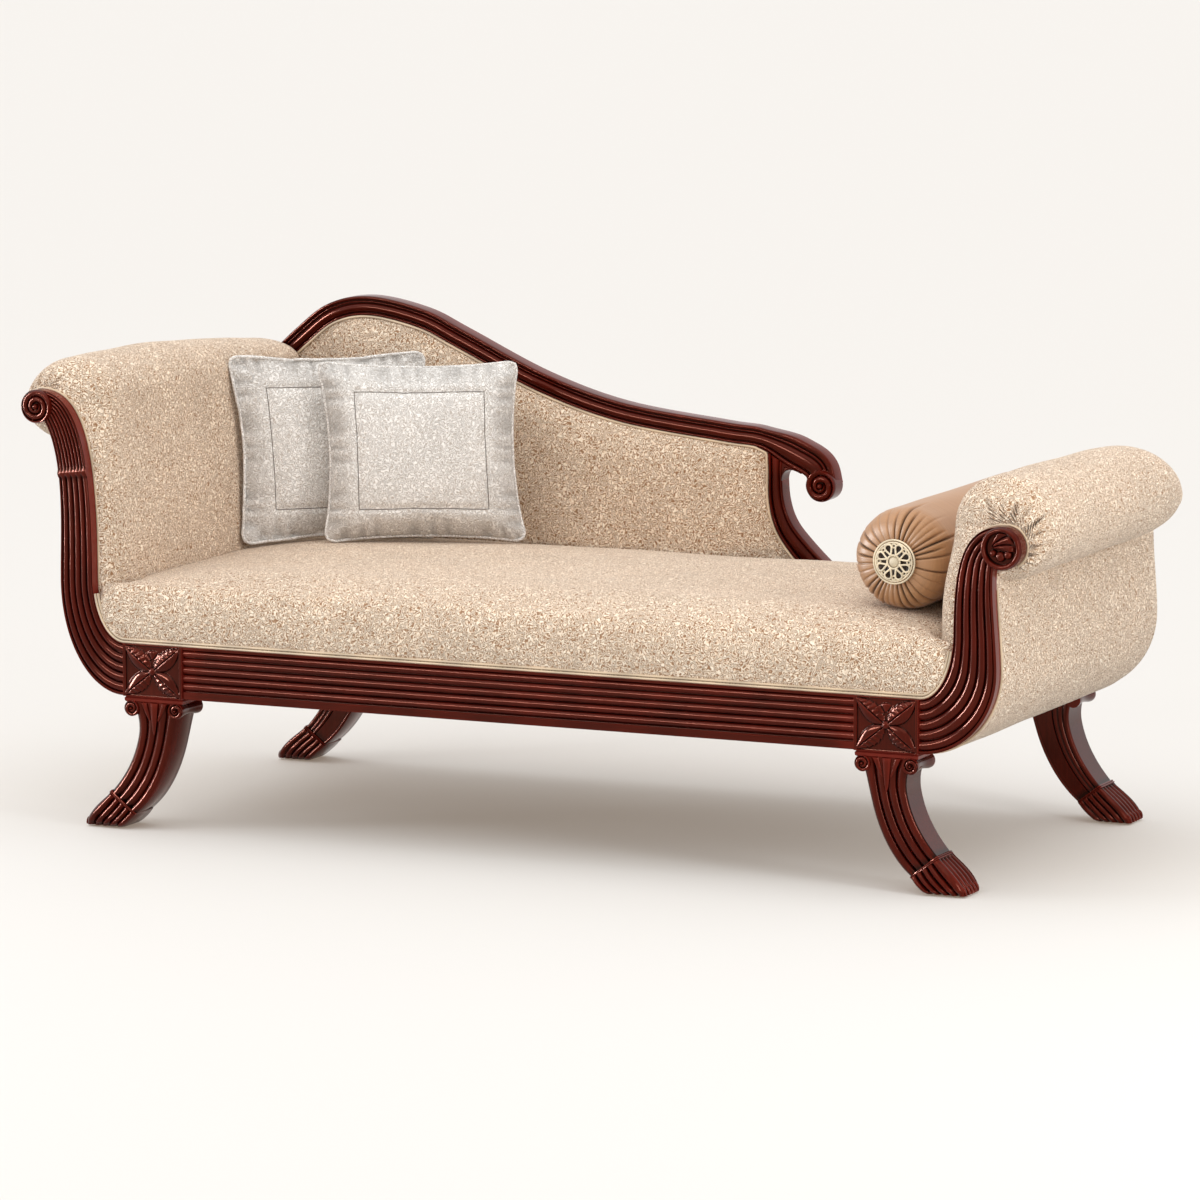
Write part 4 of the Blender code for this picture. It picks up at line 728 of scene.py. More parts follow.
def spiral(relief, turns, way=1, start=0.0):
    """Height of a winding band with a ringed eye."""
    def height(share, angle):
        if share < 0.17:
            return relief * (0.5 + 1.1 * math.sqrt(max(0.0, 1 - (share / 0.17) ** 2)))
        if share < 0.25:
            return -0.2 * relief
        place = turns * (share - 0.25) / 0.75 + way * (angle - start) / (2 * math.pi)
        place -= math.floor(place)
        band = math.sqrt(max(0.0, 1 - (2 * place - 1) ** 2))
        edge = smooth((1.0 - share) / 0.05)
        return relief * (1.25 * band - 0.35) * (0.35 + 0.65 * edge)
    return height


def leaf_eye(relief):
    """Height of a rolled rim round a veined leaf and three seeds."""
    def height(share, angle):
        x = share * math.cos(angle)
        z = share * math.sin(angle)
        rim = math.sqrt(max(0.0, 1 - ((share - 0.87) / 0.13) ** 2))
        if share > 0.74:
            return relief * (1.1 * rim - 0.1)
        value = -0.45
        fan_x = x + 0.50
        fan_z = z - 0.02
        q = math.hypot(fan_x, fan_z)
        turn = math.atan2(fan_z, fan_x)
        if -0.12 < turn < 1.25 and q < 1.25:
            vein = abs(math.sin(7.0 * (turn + 0.25 * q)))
            value = max(value, (0.15 + 0.75 * vein ** 0.5) * smooth((1.25 - q) / 0.25) * smooth(q / 0.3))
        for seed_x, seed_z, seed in ((-0.02, -0.36, 0.24), (0.36, -0.26, 0.20), (-0.38, -0.22, 0.16)):
            near = math.hypot(x - seed_x, z - seed_z) / seed
            if near < 1:
                value = max(value, 1.15 * math.sqrt(1 - near * near))
        return relief * value
    return height


def arm_post(arm, sizes):
    """Reeded S-shaped post with its scroll; the head one has a collar and finer reeds above it."""
    place = arm_place(arm)
    outer, inner = paired(outer_edge(arm), inner_edge(arm), 130)
    heights = [(a[1] + b[1]) / 2 for a, b in zip(outer, inner)]

    def front(k, share):
        fine = arm is HEAD and heights[k] > HEAD_COLLAR
        depth = reed_depth(share, 8 if fine else 5, 0.055, 0.985) * sizes.reed_relief
        if fine:
            depth *= 0.6
        if arm is HEAD:
            near = abs(heights[k] - HEAD_COLLAR) / COLLAR_HALF
            if near < 1:
                ring = math.sqrt(1 - near * near)
                depth = depth * (1 - ring) - COLLAR_PROUD * ring
        if share < 0.012 or share > 0.988:
            depth += 0.0012
        return depth
    post = skin(band_rings(outer, inner, front, POST_DEPTH, place))
    if arm is HEAD:
        carving = spiral(sizes.volute_relief * 0.9, 2.0, -1, math.radians(80))
    else:
        carving = leaf_eye(sizes.volute_relief)
    end = scroll_end(place, arm.scroll, arm.radius, -0.0035, POST_DEPTH, carving)
    name = f"front_{arm.name}_arm_post"
    made_piece(name + "_carved", [post, end], "polished_mahogany_upright", replaced=[name])


class CHAISE_OT_arm_posts(bpy.types.Operator):
    """Carves the two reeded arm posts with their scrolls"""
    bl_idname = "chaise.arm_posts"
    bl_label = "Arm posts"

    def execute(self, context):
        for arm in (HEAD, FOOT):
            arm_post(arm, context.scene.chaise_sizes)
        return {"FINISHED"}


BOSS_RADIUS = 0.0085
FAN_REACH = 0.021
FIELD_SUNK = 0.0032


def leaf_height(x, z, sizes):
    """Height of the four-leaf patera, its boss and the small fan over it."""
    length = 0.455 * math.hypot(BLOCK_WIDTH, RAIL_HEIGHT)
    slope = math.atan2(RAIL_HEIGHT, BLOCK_WIDTH)
    value = 0.0
    for k, angle in enumerate((slope, math.pi - slope, math.pi + slope, -slope)):
        along = (x * math.cos(angle) + z * math.sin(angle)) / length
        across = -x * math.sin(angle) + z * math.cos(angle)
        if not 0.06 < along < 1.0:
            continue
        t = (along - 0.06) / 0.94
        half = 0.0025 + 0.225 * length * math.sin(math.pi * t ** 0.85) ** 0.9 * 0.92
        serrated = (across > 0) == (k % 2 == 0)
        if serrated:
            half *= 0.90 + 0.16 * ((t * 7.0) % 1.0)
        near = abs(across) / half
        if near < 1:
            swell = math.sqrt(1 - near * near) * (0.55 + 0.45 * math.sin(math.pi * t))
            rib = math.exp(-(across / 0.0011) ** 2)
            vein = 0.16 * abs(math.sin(21.0 * t + 3.0 * near)) if serrated else 0.0
            carved = swell * (1 - vein) - 0.35 * rib * smooth((1 - t) / 0.2)
            value = max(value, sizes.leaf_relief * carved)
    radius = math.hypot(x, z) / BOSS_RADIUS
    if radius < 1:
        value = max(value, 1.25 * sizes.leaf_relief * math.sqrt(1 - radius * radius))
    up = z - 0.20 * RAIL_HEIGHT
    fan = math.hypot(x, up)
    if 0.004 < fan < FAN_REACH and up > 0.35 * abs(x):
        lobe = abs(math.cos(2.5 * math.atan2(x, up))) ** 0.5
        value = max(value, 0.55 * sizes.leaf_relief * lobe * smooth((FAN_REACH - fan) / 0.004))
    return value


def carved_block(side, hand, sizes):
    """Front corner block: sunk field between upright borders, with the patera in it."""
    name = f"front_{hand}_block"
    columns = 112
    rows = 92
    middle_z = RAIL_BOTTOM + RAIL_HEIGHT / 2
    points = []
    for row in range(rows + 1):
        z = (row / rows - 0.5) * RAIL_HEIGHT
        for column in range(columns + 1):
            x = (column / columns - 0.5) * BLOCK_WIDTH
            border = smooth((abs(x) - 0.445 * BLOCK_WIDTH) / 0.0015)
            lip = smooth((abs(z) - 0.475 * RAIL_HEIGHT) / 0.0012)
            height = 0.0036 * max(border, 0.7 * lip) - FIELD_SUNK
            carved = leaf_height(x, z, sizes) - 0.0004
            if carved > 0:
                height += carved * (1 - border)
            points.append(world(side * BLOCK_X + x, -BLOCK_PROUD - height, middle_z + z))
    faces = grid_faces(columns + 1, rows + 1)
    rim = grid_rim(columns + 1, rows + 1)
    base = len(points)
    points += [(points[k][0], FRONT + BLOCK_DEPTH - BLOCK_PROUD, points[k][2]) for k in rim]
    count = len(rim)
    for k in range(count):
        faces.append((rim[k], rim[(k + 1) % count], base + (k + 1) % count, base + k))
    faces.append(tuple(range(base, base + count)))
    made_piece(name + "_carved", [(points, faces)], "polished_mahogany_upright",
               replaced=[name])


RAIL_REED_DEPTH = 0.0072


def rail_section():
    """Height and depth of the front rail's face: thin fillet, five reeds and a plain fascia."""
    section = []
    fascia = 0.165
    fillet = 0.955
    for k in range(121):
        share = k / 120
        if share < fascia:
            depth = 0.0012 if share < fascia - 0.02 else 0.006
            if share < 0.012:
                depth = 0.0028
        elif share > fillet:
            depth = 0.0002
        else:
            depth = reed_depth(share, 5, fascia, fillet) * RAIL_REED_DEPTH + 0.0004
        section.append((depth, RAIL_BOTTOM + share * RAIL_HEIGHT))
    return section


class CHAISE_OT_seat_rails(bpy.types.Operator):
    """Works the reeded front rail, the carved blocks and the plain rear rail and blocks"""
    bl_idname = "chaise.seat_rails"
    bl_label = "Seat rails and blocks"

    def execute(self, context):
        ledge = RAIL_TOP - 0.0031
        section = rail_section()
        section += [(RAIL_THICKNESS - RAIL_LEDGE, RAIL_TOP), (RAIL_THICKNESS - RAIL_LEDGE, ledge)]
        section += [(RAIL_THICKNESS, ledge), (RAIL_THICKNESS, RAIL_BOTTOM)]
        x = BLOCK_INNER - GAP
        rings = [[world(-x + 2 * x * k / 40, y, z) for y, z in section] for k in range(41)]
        made_piece("front_seat_rail_reeded", [skin(rings)], "polished_mahogany_long",
                   replaced=["front_seat_rail"])
        for side, hand in ((-1, "left"), (1, "right")):
            carved_block(side, hand, context.scene.chaise_sizes)
            dress(f"rear_{hand}_block", "polished_mahogany_upright")
        dress("rear_seat_rail", "polished_mahogany_long")
        return {"FINISHED"}


def dress(name, finish_name):
    """Gives a CAD node that keeps its own shape a finish, with softened arrises."""
    obj = frame["nodes"][name]
    obj.data.materials.clear()
    obj.data.materials.append(finish(finish_name))
    ease = obj.modifiers.new("eased_arrises", "BEVEL")
    ease.width = 0.0008
    ease.segments = 2
    ease.limit_method = "ANGLE"
    ease.angle_limit = math.radians(50)
    ease.harden_normals = False


def leg_lines(leg):
    """Outer and inner edges of a sabre leg to the ankle, then of its paw to the floor."""
    top = LEG_TOP - ABACUS_HEIGHT / 2
    half = LEG_TOP_WIDTH / 2
    base = GLIDE_HEIGHT + GAP
    tip = leg.sweep
    heel = leg.sweep - leg.foot
    ankle_out = (tip - leg.setback, ANKLE_HEIGHT)
    lean = math.radians(39)
    ankle_in = (ankle_out[0] - leg.ankle * math.cos(lean), ankle_out[1] - leg.ankle * math.sin(lean))
    fall = top - ANKLE_HEIGHT
    outer = bezier((half - 0.006, top), (half - 0.008, top - 0.40 * fall),
                   (ankle_out[0] - 0.048, ankle_out[1] + 0.30 * fall), ankle_out, 30)
    inner = bezier((-half - 0.004, top), (-half - 0.004, top - 0.42 * fall),
                   (ankle_in[0] - 0.060, ankle_in[1] + 0.27 * fall), ankle_in, 30)
    toe_top = (ankle_out[0] + 0.35 * leg.setback, 0.72 * ANKLE_HEIGHT)
    toe_tip = (tip - 0.11 * leg.setback, base + 0.38 * ANKLE_HEIGHT)
    paw_out = bezier(ankle_out, toe_top, toe_tip, (tip, base), 24)
    pad = (ankle_in[0] + 0.008, ankle_in[1] - 0.012)
    paw_in = bezier(ankle_in, pad, (heel - 0.006, base + 0.006), (heel, base), 24)
    return outer, inner, paw_out, paw_in


def leg_ring(side, a, b, middle, half, way, worked, plain, outer):
    """One ring of a leg: worked face, plain face and outer side, each given by its sinking."""
    spots = [(k / 72, -1, worked(k / 72)) for k in range(73)]
    spots += [(1 - k / 48, 1, plain(1 - k / 48)) for k in range(49)]
    ring = []
    for share, face, sink in spots:
        x, z = mix(a, b, share)
        ring.append(world(side * (BLOCK_X + x), middle + way * face * (half - sink), z))
    for k in range(1, 30):
        x, z = mix(a, b, outer(k / 30))
        ring.append(world(side * (BLOCK_X + x), middle + way * (1 - 2 * k / 30) * (half - 0.004), z))
    return ring


def eased(share):
    """Sinking of a plain face near its two edges."""
    edge = min(share, 1 - share, 0.08) / 0.08
    return 0.004 * (1 - math.sqrt(max(0.0, 1 - (1 - edge) ** 2)))


def beaded(share):
    """Sinking of a rear leg's front: a bead on the inner edge and three reeds towards the outer one."""
    for start, stop in ((0.0, 0.16), (0.16, 0.30), (0.30, 0.44), (0.88, 1.0)):
        if start <= share <= stop:
            place = 2 * (share - start) / (stop - start) - 1
            return 0.0042 * (1 - math.sqrt(max(0.0, 1 - place * place)))
    return 0.0012


LEG_REED_DEPTH = 0.0072
ANKLE_PROUD = 0.0022
TOE_DEPTH = 0.0090
ANKLE_BAND = ((0.0, 0.3), (0.012, 0.8), (0.035, 1.0), (0.058, 0.75), (0.065, 0.2), (0.072, 0.75),
              (0.095, 1.0), (0.118, 0.8), (0.13, 0.2))
CLAW_PITCH = 0.0150
CLAW_WIDTH = 0.0048
CLAW_LOW = 0.0036


def sabre_leg(side, hand, end):
    """Leg with flaring reeds, an ankle band, a toed paw and a scrolled capital."""
    name = f"{end}_{hand}_leg"
    way = 1 if end == "front" else -1
    front = LEG_FRONT if end == "front" else FRAME_DEPTH - LEG_FRONT - LEG_DEPTH
    middle = front + LEG_DEPTH / 2
    outer, inner, paw_out, paw_in = leg_lines(LEGS[end])
    plain = eased if end == "front" else beaded
    rings = []
    last = len(outer) - 1
    for k, (a, b) in enumerate(zip(outer, inner)):
        half = LEG_DEPTH / 2 * (1 - 0.10 * k / last)
        flare = max(0.0, 1 - k / 11) ** 2.2
        a = (a[0] + 0.019 * flare, a[1])
        b = (b[0] - 0.011 * flare, b[1])
        rings.append(leg_ring(side, a, b, middle, half, way,
                              lambda share: LEG_REED_DEPTH * reed_depth(share, 4), plain, lambda t: 0.0))
    for shift, swell in ANKLE_BAND:
        a = mix(outer[-1], paw_out[2], shift / ANKLE_BAND[-1][0])
        b = mix(inner[-1], paw_in[2], shift / ANKLE_BAND[-1][0])
        grow = ANKLE_PROUD * swell / math.dist(a, b)
        half = 0.90 * LEG_DEPTH / 2 + ANKLE_PROUD * swell
        rings.append(leg_ring(side, mix(a, b, -grow), mix(a, b, 1 + 0.2 * grow), middle, half, way,
                              lambda share: 0.0035 * reed_depth(share, 1) ** 2, eased, lambda t: 0.0))
    steps = len(paw_out) - 1
    for k in range(2, steps + 1):
        toes = k / steps
        half = LEG_DEPTH / 2 * (0.90 + 0.20 * math.sin(math.pi * min(0.75 * toes + 0.1, 1)))
        half *= 1 - 0.12 * smooth((toes - 0.84) / 0.16)
        deep = TOE_DEPTH * smooth(toes / 0.25 + 0.25)
        bent = 0.16 * math.sin(math.pi * toes)

        def toe(share, deep=deep, bent=bent):
            return deep * reed_depth(share ** (1 + bent), 5)
        rings.append(leg_ring(side, paw_out[k], paw_in[k], middle, half, way, toe,
                              lambda share, deep=deep: 0.6 * deep * reed_depth(share, 5),
                              lambda t, deep=deep: 0.9 * deep * reed_depth(t, 5) / 0.08))
    shells = [skin(rings)]
    shells += capital(side, front, way)
    shells += claws(side, middle, way, LEGS[end].sweep)
    made_piece(name + "_carved", shells, "polished_mahogany_upright", replaced=[name])


def claws(side, middle, way, sweep):
    """Small curved claws along the toe end of a paw."""
    shells = []
    for k in range(5):
        y = middle + way * (k - 2) * CLAW_PITCH
        rings = []
        for step in range(9):
            t = step / 8
            x = sweep - 0.0150 + 0.0150 * math.sin(1.4 * t)
            z = 0.0190 - 0.0150 * t * t
            wide = CLAW_WIDTH * math.sqrt(max(0.02, 1 - (0.97 * t) ** 2))
            ring = []
            for j in range(12):
                turn = 2 * math.pi * j / 12
                reach = side * (BLOCK_X + x + 0.6 * wide * math.cos(turn))
                low = max(z + 0.5 * wide * math.cos(turn), CLAW_LOW)
                ring.append(world(reach, y + wide * math.sin(turn), low))
            rings.append(ring)
        shells.append(skin(rings))
    return shells


def capital(side, front, way):
    """Plate, two rolled scrolls and a fan of flutes between them."""
    shells = []
    half = CAPITAL_WIDTH / 2
    middle = front + LEG_DEPTH / 2
    plate = []
    for z, out in ((LEG_TOP - ABACUS_HEIGHT, -0.002), (LEG_TOP - ABACUS_HEIGHT + 0.003, 0.0015),
                   (LEG_TOP - 0.004, 0.002), (LEG_TOP - 0.0015, 0.0), (LEG_TOP, 0.0)):
        x = half + out - 0.002
        y = LEG_DEPTH / 2 + out
        corners = ((-x, -y), (x, -y), (x, y), (-x, y))
        plate.append([world(side * BLOCK_X + cx, middle + cy, z) for cx, cy in corners])
    shells.append(skin(plate))
    r = CAPITAL_RADIUS
    z = LEG_TOP - ABACUS_HEIGHT - 0.72 * r
    face = middle - way * (LEG_DEPTH / 2 + 0.002)
    rear = middle + way * LEG_DEPTH / 2
    around = 48
    for end in (-1, 1):
        centre = (side * BLOCK_X + end * (half - r), z)
        carve = spiral(0.0040, 1.4, end, math.radians(90))
        rings = []
        for k in range(19):
            share = 0.02 + 0.98 * k / 18
            rings.append(round_ring(world, centre, share * r, around,
                                    lambda turn: face - way * carve(share, turn)))
        for t in (0.02, 0.06, 0.2, 0.35, 0.5, 0.65, 0.8, 0.95, 1.0):
            waist = 1 - 0.26 * math.sin(math.pi * min(max((t - 0.05) / 0.9, 0), 1)) ** 1.2
            rings.append(round_ring(world, centre, waist * r, around, face + (rear - face) * t))
        shells.append(skin(rings))
    for lean in (-0.48, 0.0, 0.48):
        shells.append(flute(side, lean, face, way))
    return shells


def flute(side, lean, face, way):
    """Tapering tongue of the capital's fan."""
    rings = []
    for k in range(13):
        t = k / 12
        drop = 0.060 if lean == 0 else 0.034
        z = LEG_TOP - ABACUS_HEIGHT + 0.001 - drop * t
        x = side * BLOCK_X + lean * 0.045 * (1 - 0.62 * t)
        wide = (0.0080 if lean == 0 else 0.0055) * (1 - t) ** 0.6 + 0.0006
        ring = []
        for j in range(10):
            turn = 2 * math.pi * j / 10
            y = face + way * 0.001 + 0.55 * wide * math.sin(turn)
            ring.append(world(x + wide * math.cos(turn), y, z))
        rings.append(ring)
    return skin(rings)


class CHAISE_OT_legs(bpy.types.Operator):
    """Carves the four sabre legs on their paw feet"""
    bl_idname = "chaise.legs"
    bl_label = "Sabre legs"

    def execute(self, context):
        for side, hand in ((-1, "left"), (1, "right")):
            for end in ("front", "rear"):
                sabre_leg(side, hand, end)
                dress(f"{end}_{hand}_foot_glide", "moulded_nylon")
                dress(f"{end}_{hand}_leg_bolt", "plain_steel")
        return {"FINISHED"}


def crest_lines(steps=9):
    """Upper and lower edges of the crest, from the head post to the scroll."""
    post = quarter((GAP, RAIL_TOP), inner_bend(HEAD), 9) + inner_stem(HEAD, 14)[1:]
    a = (-BLOCK_OUTER - post[-6][0], post[-6][1])
    b = (-BLOCK_OUTER - post[-3][0], post[-3][1])
    run = (b[0] - a[0], b[1] - a[1])
    length = math.hypot(*run)
    away = (run[1] / length, -run[0] / length)
    bulge = max(away[0] * (-BLOCK_OUTER - p[0] - a[0]) + away[1] * (p[1] - a[1]) for p in post[-7:-1])
    clear = bulge + 2 * GAP
    a = (a[0] + away[0] * clear, a[1] + away[1] * clear)
    b = (b[0] + away[0] * clear, b[1] + away[1] * clear)
    hump = ((-0.585, 0.882), (-0.540, 0.970), (-0.484, 1.0), (-0.408, 0.964), (-0.349, 0.897))
    fall = ((-0.233, 0.760), (-0.117, 0.670), (0.027, 0.622), (0.085, 0.606))
    line = [mix(a, b, 0.5)]
    line += [(x * 2 * BLOCK_X, RAIL_TOP + rise * CREST_RISE) for x, rise in hump + fall]
    r = CREST_RADIUS
    line.append((CREST_SCROLL[0] - 1.65 * r, CREST_SCROLL[1] + 1.9 * r))
    line.append((CREST_SCROLL[0] - 0.35 * r, CREST_SCROLL[1] + 1.12 * r))
    line.append((CREST_SCROLL[0] + 0.05 * r, CREST_SCROLL[1] - 0.1 * r))
    middle = smooth_line(line, steps)

    def half_width(_, point):
        share = smooth((point[0] - CREST_SCROLL[0] + 4.2 * r) / (2.4 * r))
        return CREST_WIDTH / 2 + (0.98 * r - CREST_WIDTH / 2) * share
    upper = offset_line(middle, half_width)
    lower = offset_line(middle, lambda share, point: -half_width(share, point))
    upper[0] = b
    lower[0] = a
    return upper, lower


def moulding(share, members):
    """Depth across a moulded face, given its round members as (start, end, sinking, roundness)."""
    for start, end, sink, deep in members:
        if start <= share <= end:
            place = 2 * (share - start) / (end - start) - 1
            return sink + deep * (1 - math.sqrt(max(0.0, 1 - place * place)))
    return 0.0085


def stile_lines():
    """Left and right edges of the end stile, from under the crest to the rear rail."""
    lower = [point for point in crest_lines(3)[1] if point[0] > 0]
    top_x = CREST_SCROLL[0] - 0.097
    half = STILE_WIDTH / 2
    foot = (top_x + 0.190, RAIL_TOP + GAP)
    rise = value_at(lower, 0, top_x, 1) - foot[1]
    controls = [(top_x, foot[1] + rise * 0.93), (top_x + 0.003, foot[1] + 0.72 * rise)]
    controls += [(top_x + 0.018, foot[1] + 0.56 * rise), (top_x + 0.050, foot[1] + 0.42 * rise)]
    controls += [(top_x + 0.105, foot[1] + 0.24 * rise), foot]
    middle = smooth_line(controls, 8)
    left = offset_line(middle, lambda share, point: -half * (0.9 + 0.7 * share))
    right = offset_line(middle, lambda share, point: half * (0.9 + 0.7 * share))
    for edge, shift in ((left, -half), (right, half)):
        edge[0] = (top_x + shift, value_at(lower, 0, top_x + shift, 1) - 3 * GAP)
        edge[-1] = (foot[0] + 1.7 * shift, foot[1])
    return left, right


OUTER_WEB = 0.040
INNER_WEB = -0.024


def corner_lines(edge, reach):
    """Where stile meets crest: the two edges as one line, and the round line that eases their corner."""
    lower = crest_lines()[1]
    top = edge[0]
    way = math.copysign(1, reach)
    along = [p for p in lower if 0 < (p[0] - top[0]) * way < abs(reach) and p[1] > CREST_SCROLL[1]]
    if reach < 0:
        along.reverse()
    down = [p for p in edge if top[1] - p[1] < abs(reach)]
    sharp = even(down[::-1] + along, 40)
    return sharp, bezier(sharp[0], mix(sharp[0], top, 0.62), mix(sharp[-1], top, 0.62), sharp[-1], 39)


class CHAISE_OT_back_frame(bpy.types.Operator):
    """Works the moulded crest with its scroll and the beaded end stile"""
    bl_idname = "chaise.back_frame"
    bl_label = "Crest and stile"

    def execute(self, context):
        sizes = context.scene.chaise_sizes
        upper, lower = crest_lines()
        members = ((0.0, 0.20, 0.0005, 0.005), (0.24, 0.33, 0.003, 0.004), (0.37, 0.84, 0.0, 0.009),
                   (0.86, 1.0, 0.002, 0.004))

        def crest_face(_, share):
            return BACK_FRONT + moulding(share, members)
        rail = skin(band_rings(upper, lower, crest_face, FRAME_DEPTH, world))
        end = scroll_end(world, CREST_SCROLL, CREST_RADIUS, BACK_FRONT - 0.003, FRAME_DEPTH,
                         spiral(sizes.volute_relief, 1.6, 1, math.radians(70)))
        made_piece("crest_rail_moulded", [rail, end], "polished_mahogany_long",
                   replaced=["crest_rail"])
        left, right = stile_lines()
        beads = ((0.0, 0.18, 0.0005, 0.005), (0.20, 0.80, 0.001, 0.008), (0.82, 1.0, 0.0005, 0.005))

        def stile_face(_, share):
            return BACK_FRONT + moulding(share, beads)
        shells = [skin(band_rings(left, right, stile_face, FRAME_DEPTH, world))]
        eased_beads = ((0.0, 0.5, 0.002, 0.0), (0.55, 1.0, 0.0, 0.005))

        def web_face(_, share):
            return BACK_FRONT + moulding(share, eased_beads)
        for edge, reach in ((right, OUTER_WEB), (left, INNER_WEB)):
            sharp, eased_line = corner_lines(edge, reach)
            back = FRAME_DEPTH if reach > 0 else BACK_FRONT + 0.010
            shells.append(skin(band_rings(sharp, eased_line, web_face, back, world)))
        made_piece("back_end_stile_moulded", shells, "polished_mahogany_upright",
                   replaced=["back_end_stile"])
        return {"FINISHED"}


def arm_section(arm, swell, droop):
    """Section of an arm's cover at one depth, from the seat over the roll to the tacking line."""
    bend = inner_bend(arm)
    low = RAIL_TOP + GAP
    flush = quarter((GAP, low), bend, 26) + inner_stem(arm, 40)[1:]
    full = quarter((GAP - arm.crown, low), (bend[0] - arm.crown, bend[1]), 26)
    left = (arm.roll[0] - arm.roll_half[0], arm.roll[1])
    rise = left[1] - bend[1]
    pull = (full[-1][0], bend[1] + 0.45 * rise)
    full += bezier(full[-1], pull, (left[0], left[1] - 0.35 * rise), left, 40)[1:]
    over = 420
    for k in range(1, over + 1):
        for line, centre, half, start in ((flush, arm.scroll, (arm.radius, arm.radius), 90),
                                          (full, arm.roll, arm.roll_half, 180)):
            angle = math.radians(start - (start + 80) * k / over)
            line.append((centre[0] + half[0] * math.cos(angle), centre[1] + half[1] * math.sin(angle)))
    full = [(x, z - droop * max(0.0, z - arm.roll[1]) / arm.roll_half[1]) for x, z in full]
    return [mix(a, b, swell) for a, b in zip(flush, full)]


def arm_rail_top(arm):
    return arm.roll[1] - arm.roll_half[1] - 0.006


def arm_swell(arm, y):
    """Share of full stuffing at one depth, rounded at the free ends."""
    front = POST_DEPTH + GAP
    back = arm.rear - BACK_THICKNESS - GAP
    share = min((y - front) / ARM_PAD_ROUND, 1.0)
    swell = math.sqrt(max(0.0, 1 - (1 - share) ** 2))
    if arm is FOOT:
        share = min((back - y) / FOOT_PAD_REAR_ROUND, 1.0)
    else:
        share = min(0.564 + (back - y) / 0.075, 1.0)
    return swell * math.sqrt(max(0.0, 1 - (1 - share) ** 2))


GATHER_WIDTH = 0.026


def gathers(arm):
    """Angles, lengths and depths of the gathers round an arm's scroll."""
    places = []
    if arm is FOOT:
        spots = (-56, -37, -15, 3, 24, 41, 62, 79, 101, 119)
    else:
        spots = (-40, -18, 4, 28, 52, 74, 96, 118)
    for k, angle in enumerate(spots):
        shade = 0.5 + 0.5 * math.sin(5.1 * k + 1.3)
        places.append((math.radians(angle), 0.010 + 0.016 * shade, 0.72 + 0.28 * math.cos(3.7 * k)))
    return places


def arm_pad(arm, sizes):
    """Stuffed arm cover with gathers that run out from the scroll."""
    place = arm_place(arm)
    front = POST_DEPTH + GAP
    back = arm.rear - BACK_THICKNESS - GAP
    count = 70
    shares = [0.5 - 0.5 * math.cos(math.pi * k / count) for k in range(count + 1)]
    depths = [front + (back - front) * share for share in shares]
    # Two more rings close behind the post, where the gathers start, and two for the rebate at the rear
    depths[1:1] = [front + 0.0004, front + 0.0012]
    depths += [back + 0.0002, arm.rear - FACING_THICKNESS - GAP]
    start = front + 0.3 * (back - front)
    marks = gathers(arm)
    depth_scale = sizes.gather_depth * (1.0 if arm is FOOT else 0.55)
    rail_top = arm_rail_top(arm)
    tack = value_at(inner_edge(arm), 1, rail_top, 0) + ARM_PAD_REBATE
    under = quarter((GAP, RAIL_TOP + GAP), inner_bend(arm), 6)[::-1]
    rings = []
    shade_shares = []
    for y in depths:
        droop = arm.droop * max(0.0, (y - start) / (back - start)) ** 1.5
        line = arm_section(arm, arm_swell(arm, y) if y <= back else 0.0, droop)
        normals = offset_line(line, -1.0)
        ring = []
        round_share = min((y - front) / ARM_PAD_ROUND, 1.0)
        inward = Vector((1 - round_share, math.sqrt(max(0.0, 1 - (1 - round_share) ** 2)))).normalized()
        for j, ((x, z), (nx, nz)) in enumerate(zip(line, normals)):
            angle = math.atan2(z - arm.scroll[1], x - arm.scroll[0])
            sink = 0.0
            if z > arm.scroll[1] - 2.5 * arm.radius and y <= back:
                for mark, length, deep in marks:
                    off = math.remainder(angle - mark - 0.6 * (y - front), 2 * math.pi) / GATHER_WIDTH
                    reach = (y - front) / length
                    if abs(off) < 2.5 and reach < 1.6:
                        crease = math.exp(-off * off) - 0.22 * math.exp(-(abs(off) - 1.8) ** 2 / 0.5)
                        fade = smooth(1.6 - reach)
                        sink += depth_scale * deep * crease * fade * smooth((y - front) / 0.0006)
            soft = 0.0022 * noise.noise(Vector((x * 9, y * 9, z * 9 + arm.side)))
            soft *= smooth((y - front) / 0.05)
            push = soft + sink * inward[1]
            if y > back:
                push = -0.0014 * (1.0 if arm is FOOT else smooth((j - 80) / 40))
            point = (x - (x - nx) * push, z - (z - nz) * push)
            ring.append(place(point[0], y + sink * inward[0], point[1]))
            # Painted shade: a point's share of shade grows with the depth of the gather it lies in
            shade_shares.append(min(1.0, max(0.0, sink / depth_scale - 0.30) * (1.3 if arm is FOOT else 0.6)))
        ring.append(place(tack, y, rail_top + GAP))
        ring += [place(x + ARM_PAD_REBATE, y, z) for x, z in under]
        shade_shares += [0.0] * (1 + len(under))
        rings.append(ring)
    name = arm.name + "_arm_pad"
    obj = made_piece(name + "_stuffed", [skin(rings)], "vermicular_chenille",
                     replaced=[name], angle=60, shade_shares=shade_shares)


def rear_facing(arm):
    """Thin covered panel with rolled edges on the rear end of an arm."""
    outline = facing_outline(arm)
    front = arm.rear - FACING_THICKNESS
    thick = arm.rear - front
    rings = []
    for inset, depth in ((0.0, 0.0), (0.0, thick - 0.003), (0.0012, thick - 0.0008), (0.0035, thick)):
        rings.append([world(x, front + depth, z) for x, z in pulled_in(outline, inset)])
    name = arm.name + "_arm_rear_facing"
    obj = made_piece(name + "_covered", [skin(rings)], "vermicular_chenille",
                     replaced=[name], angle=50)


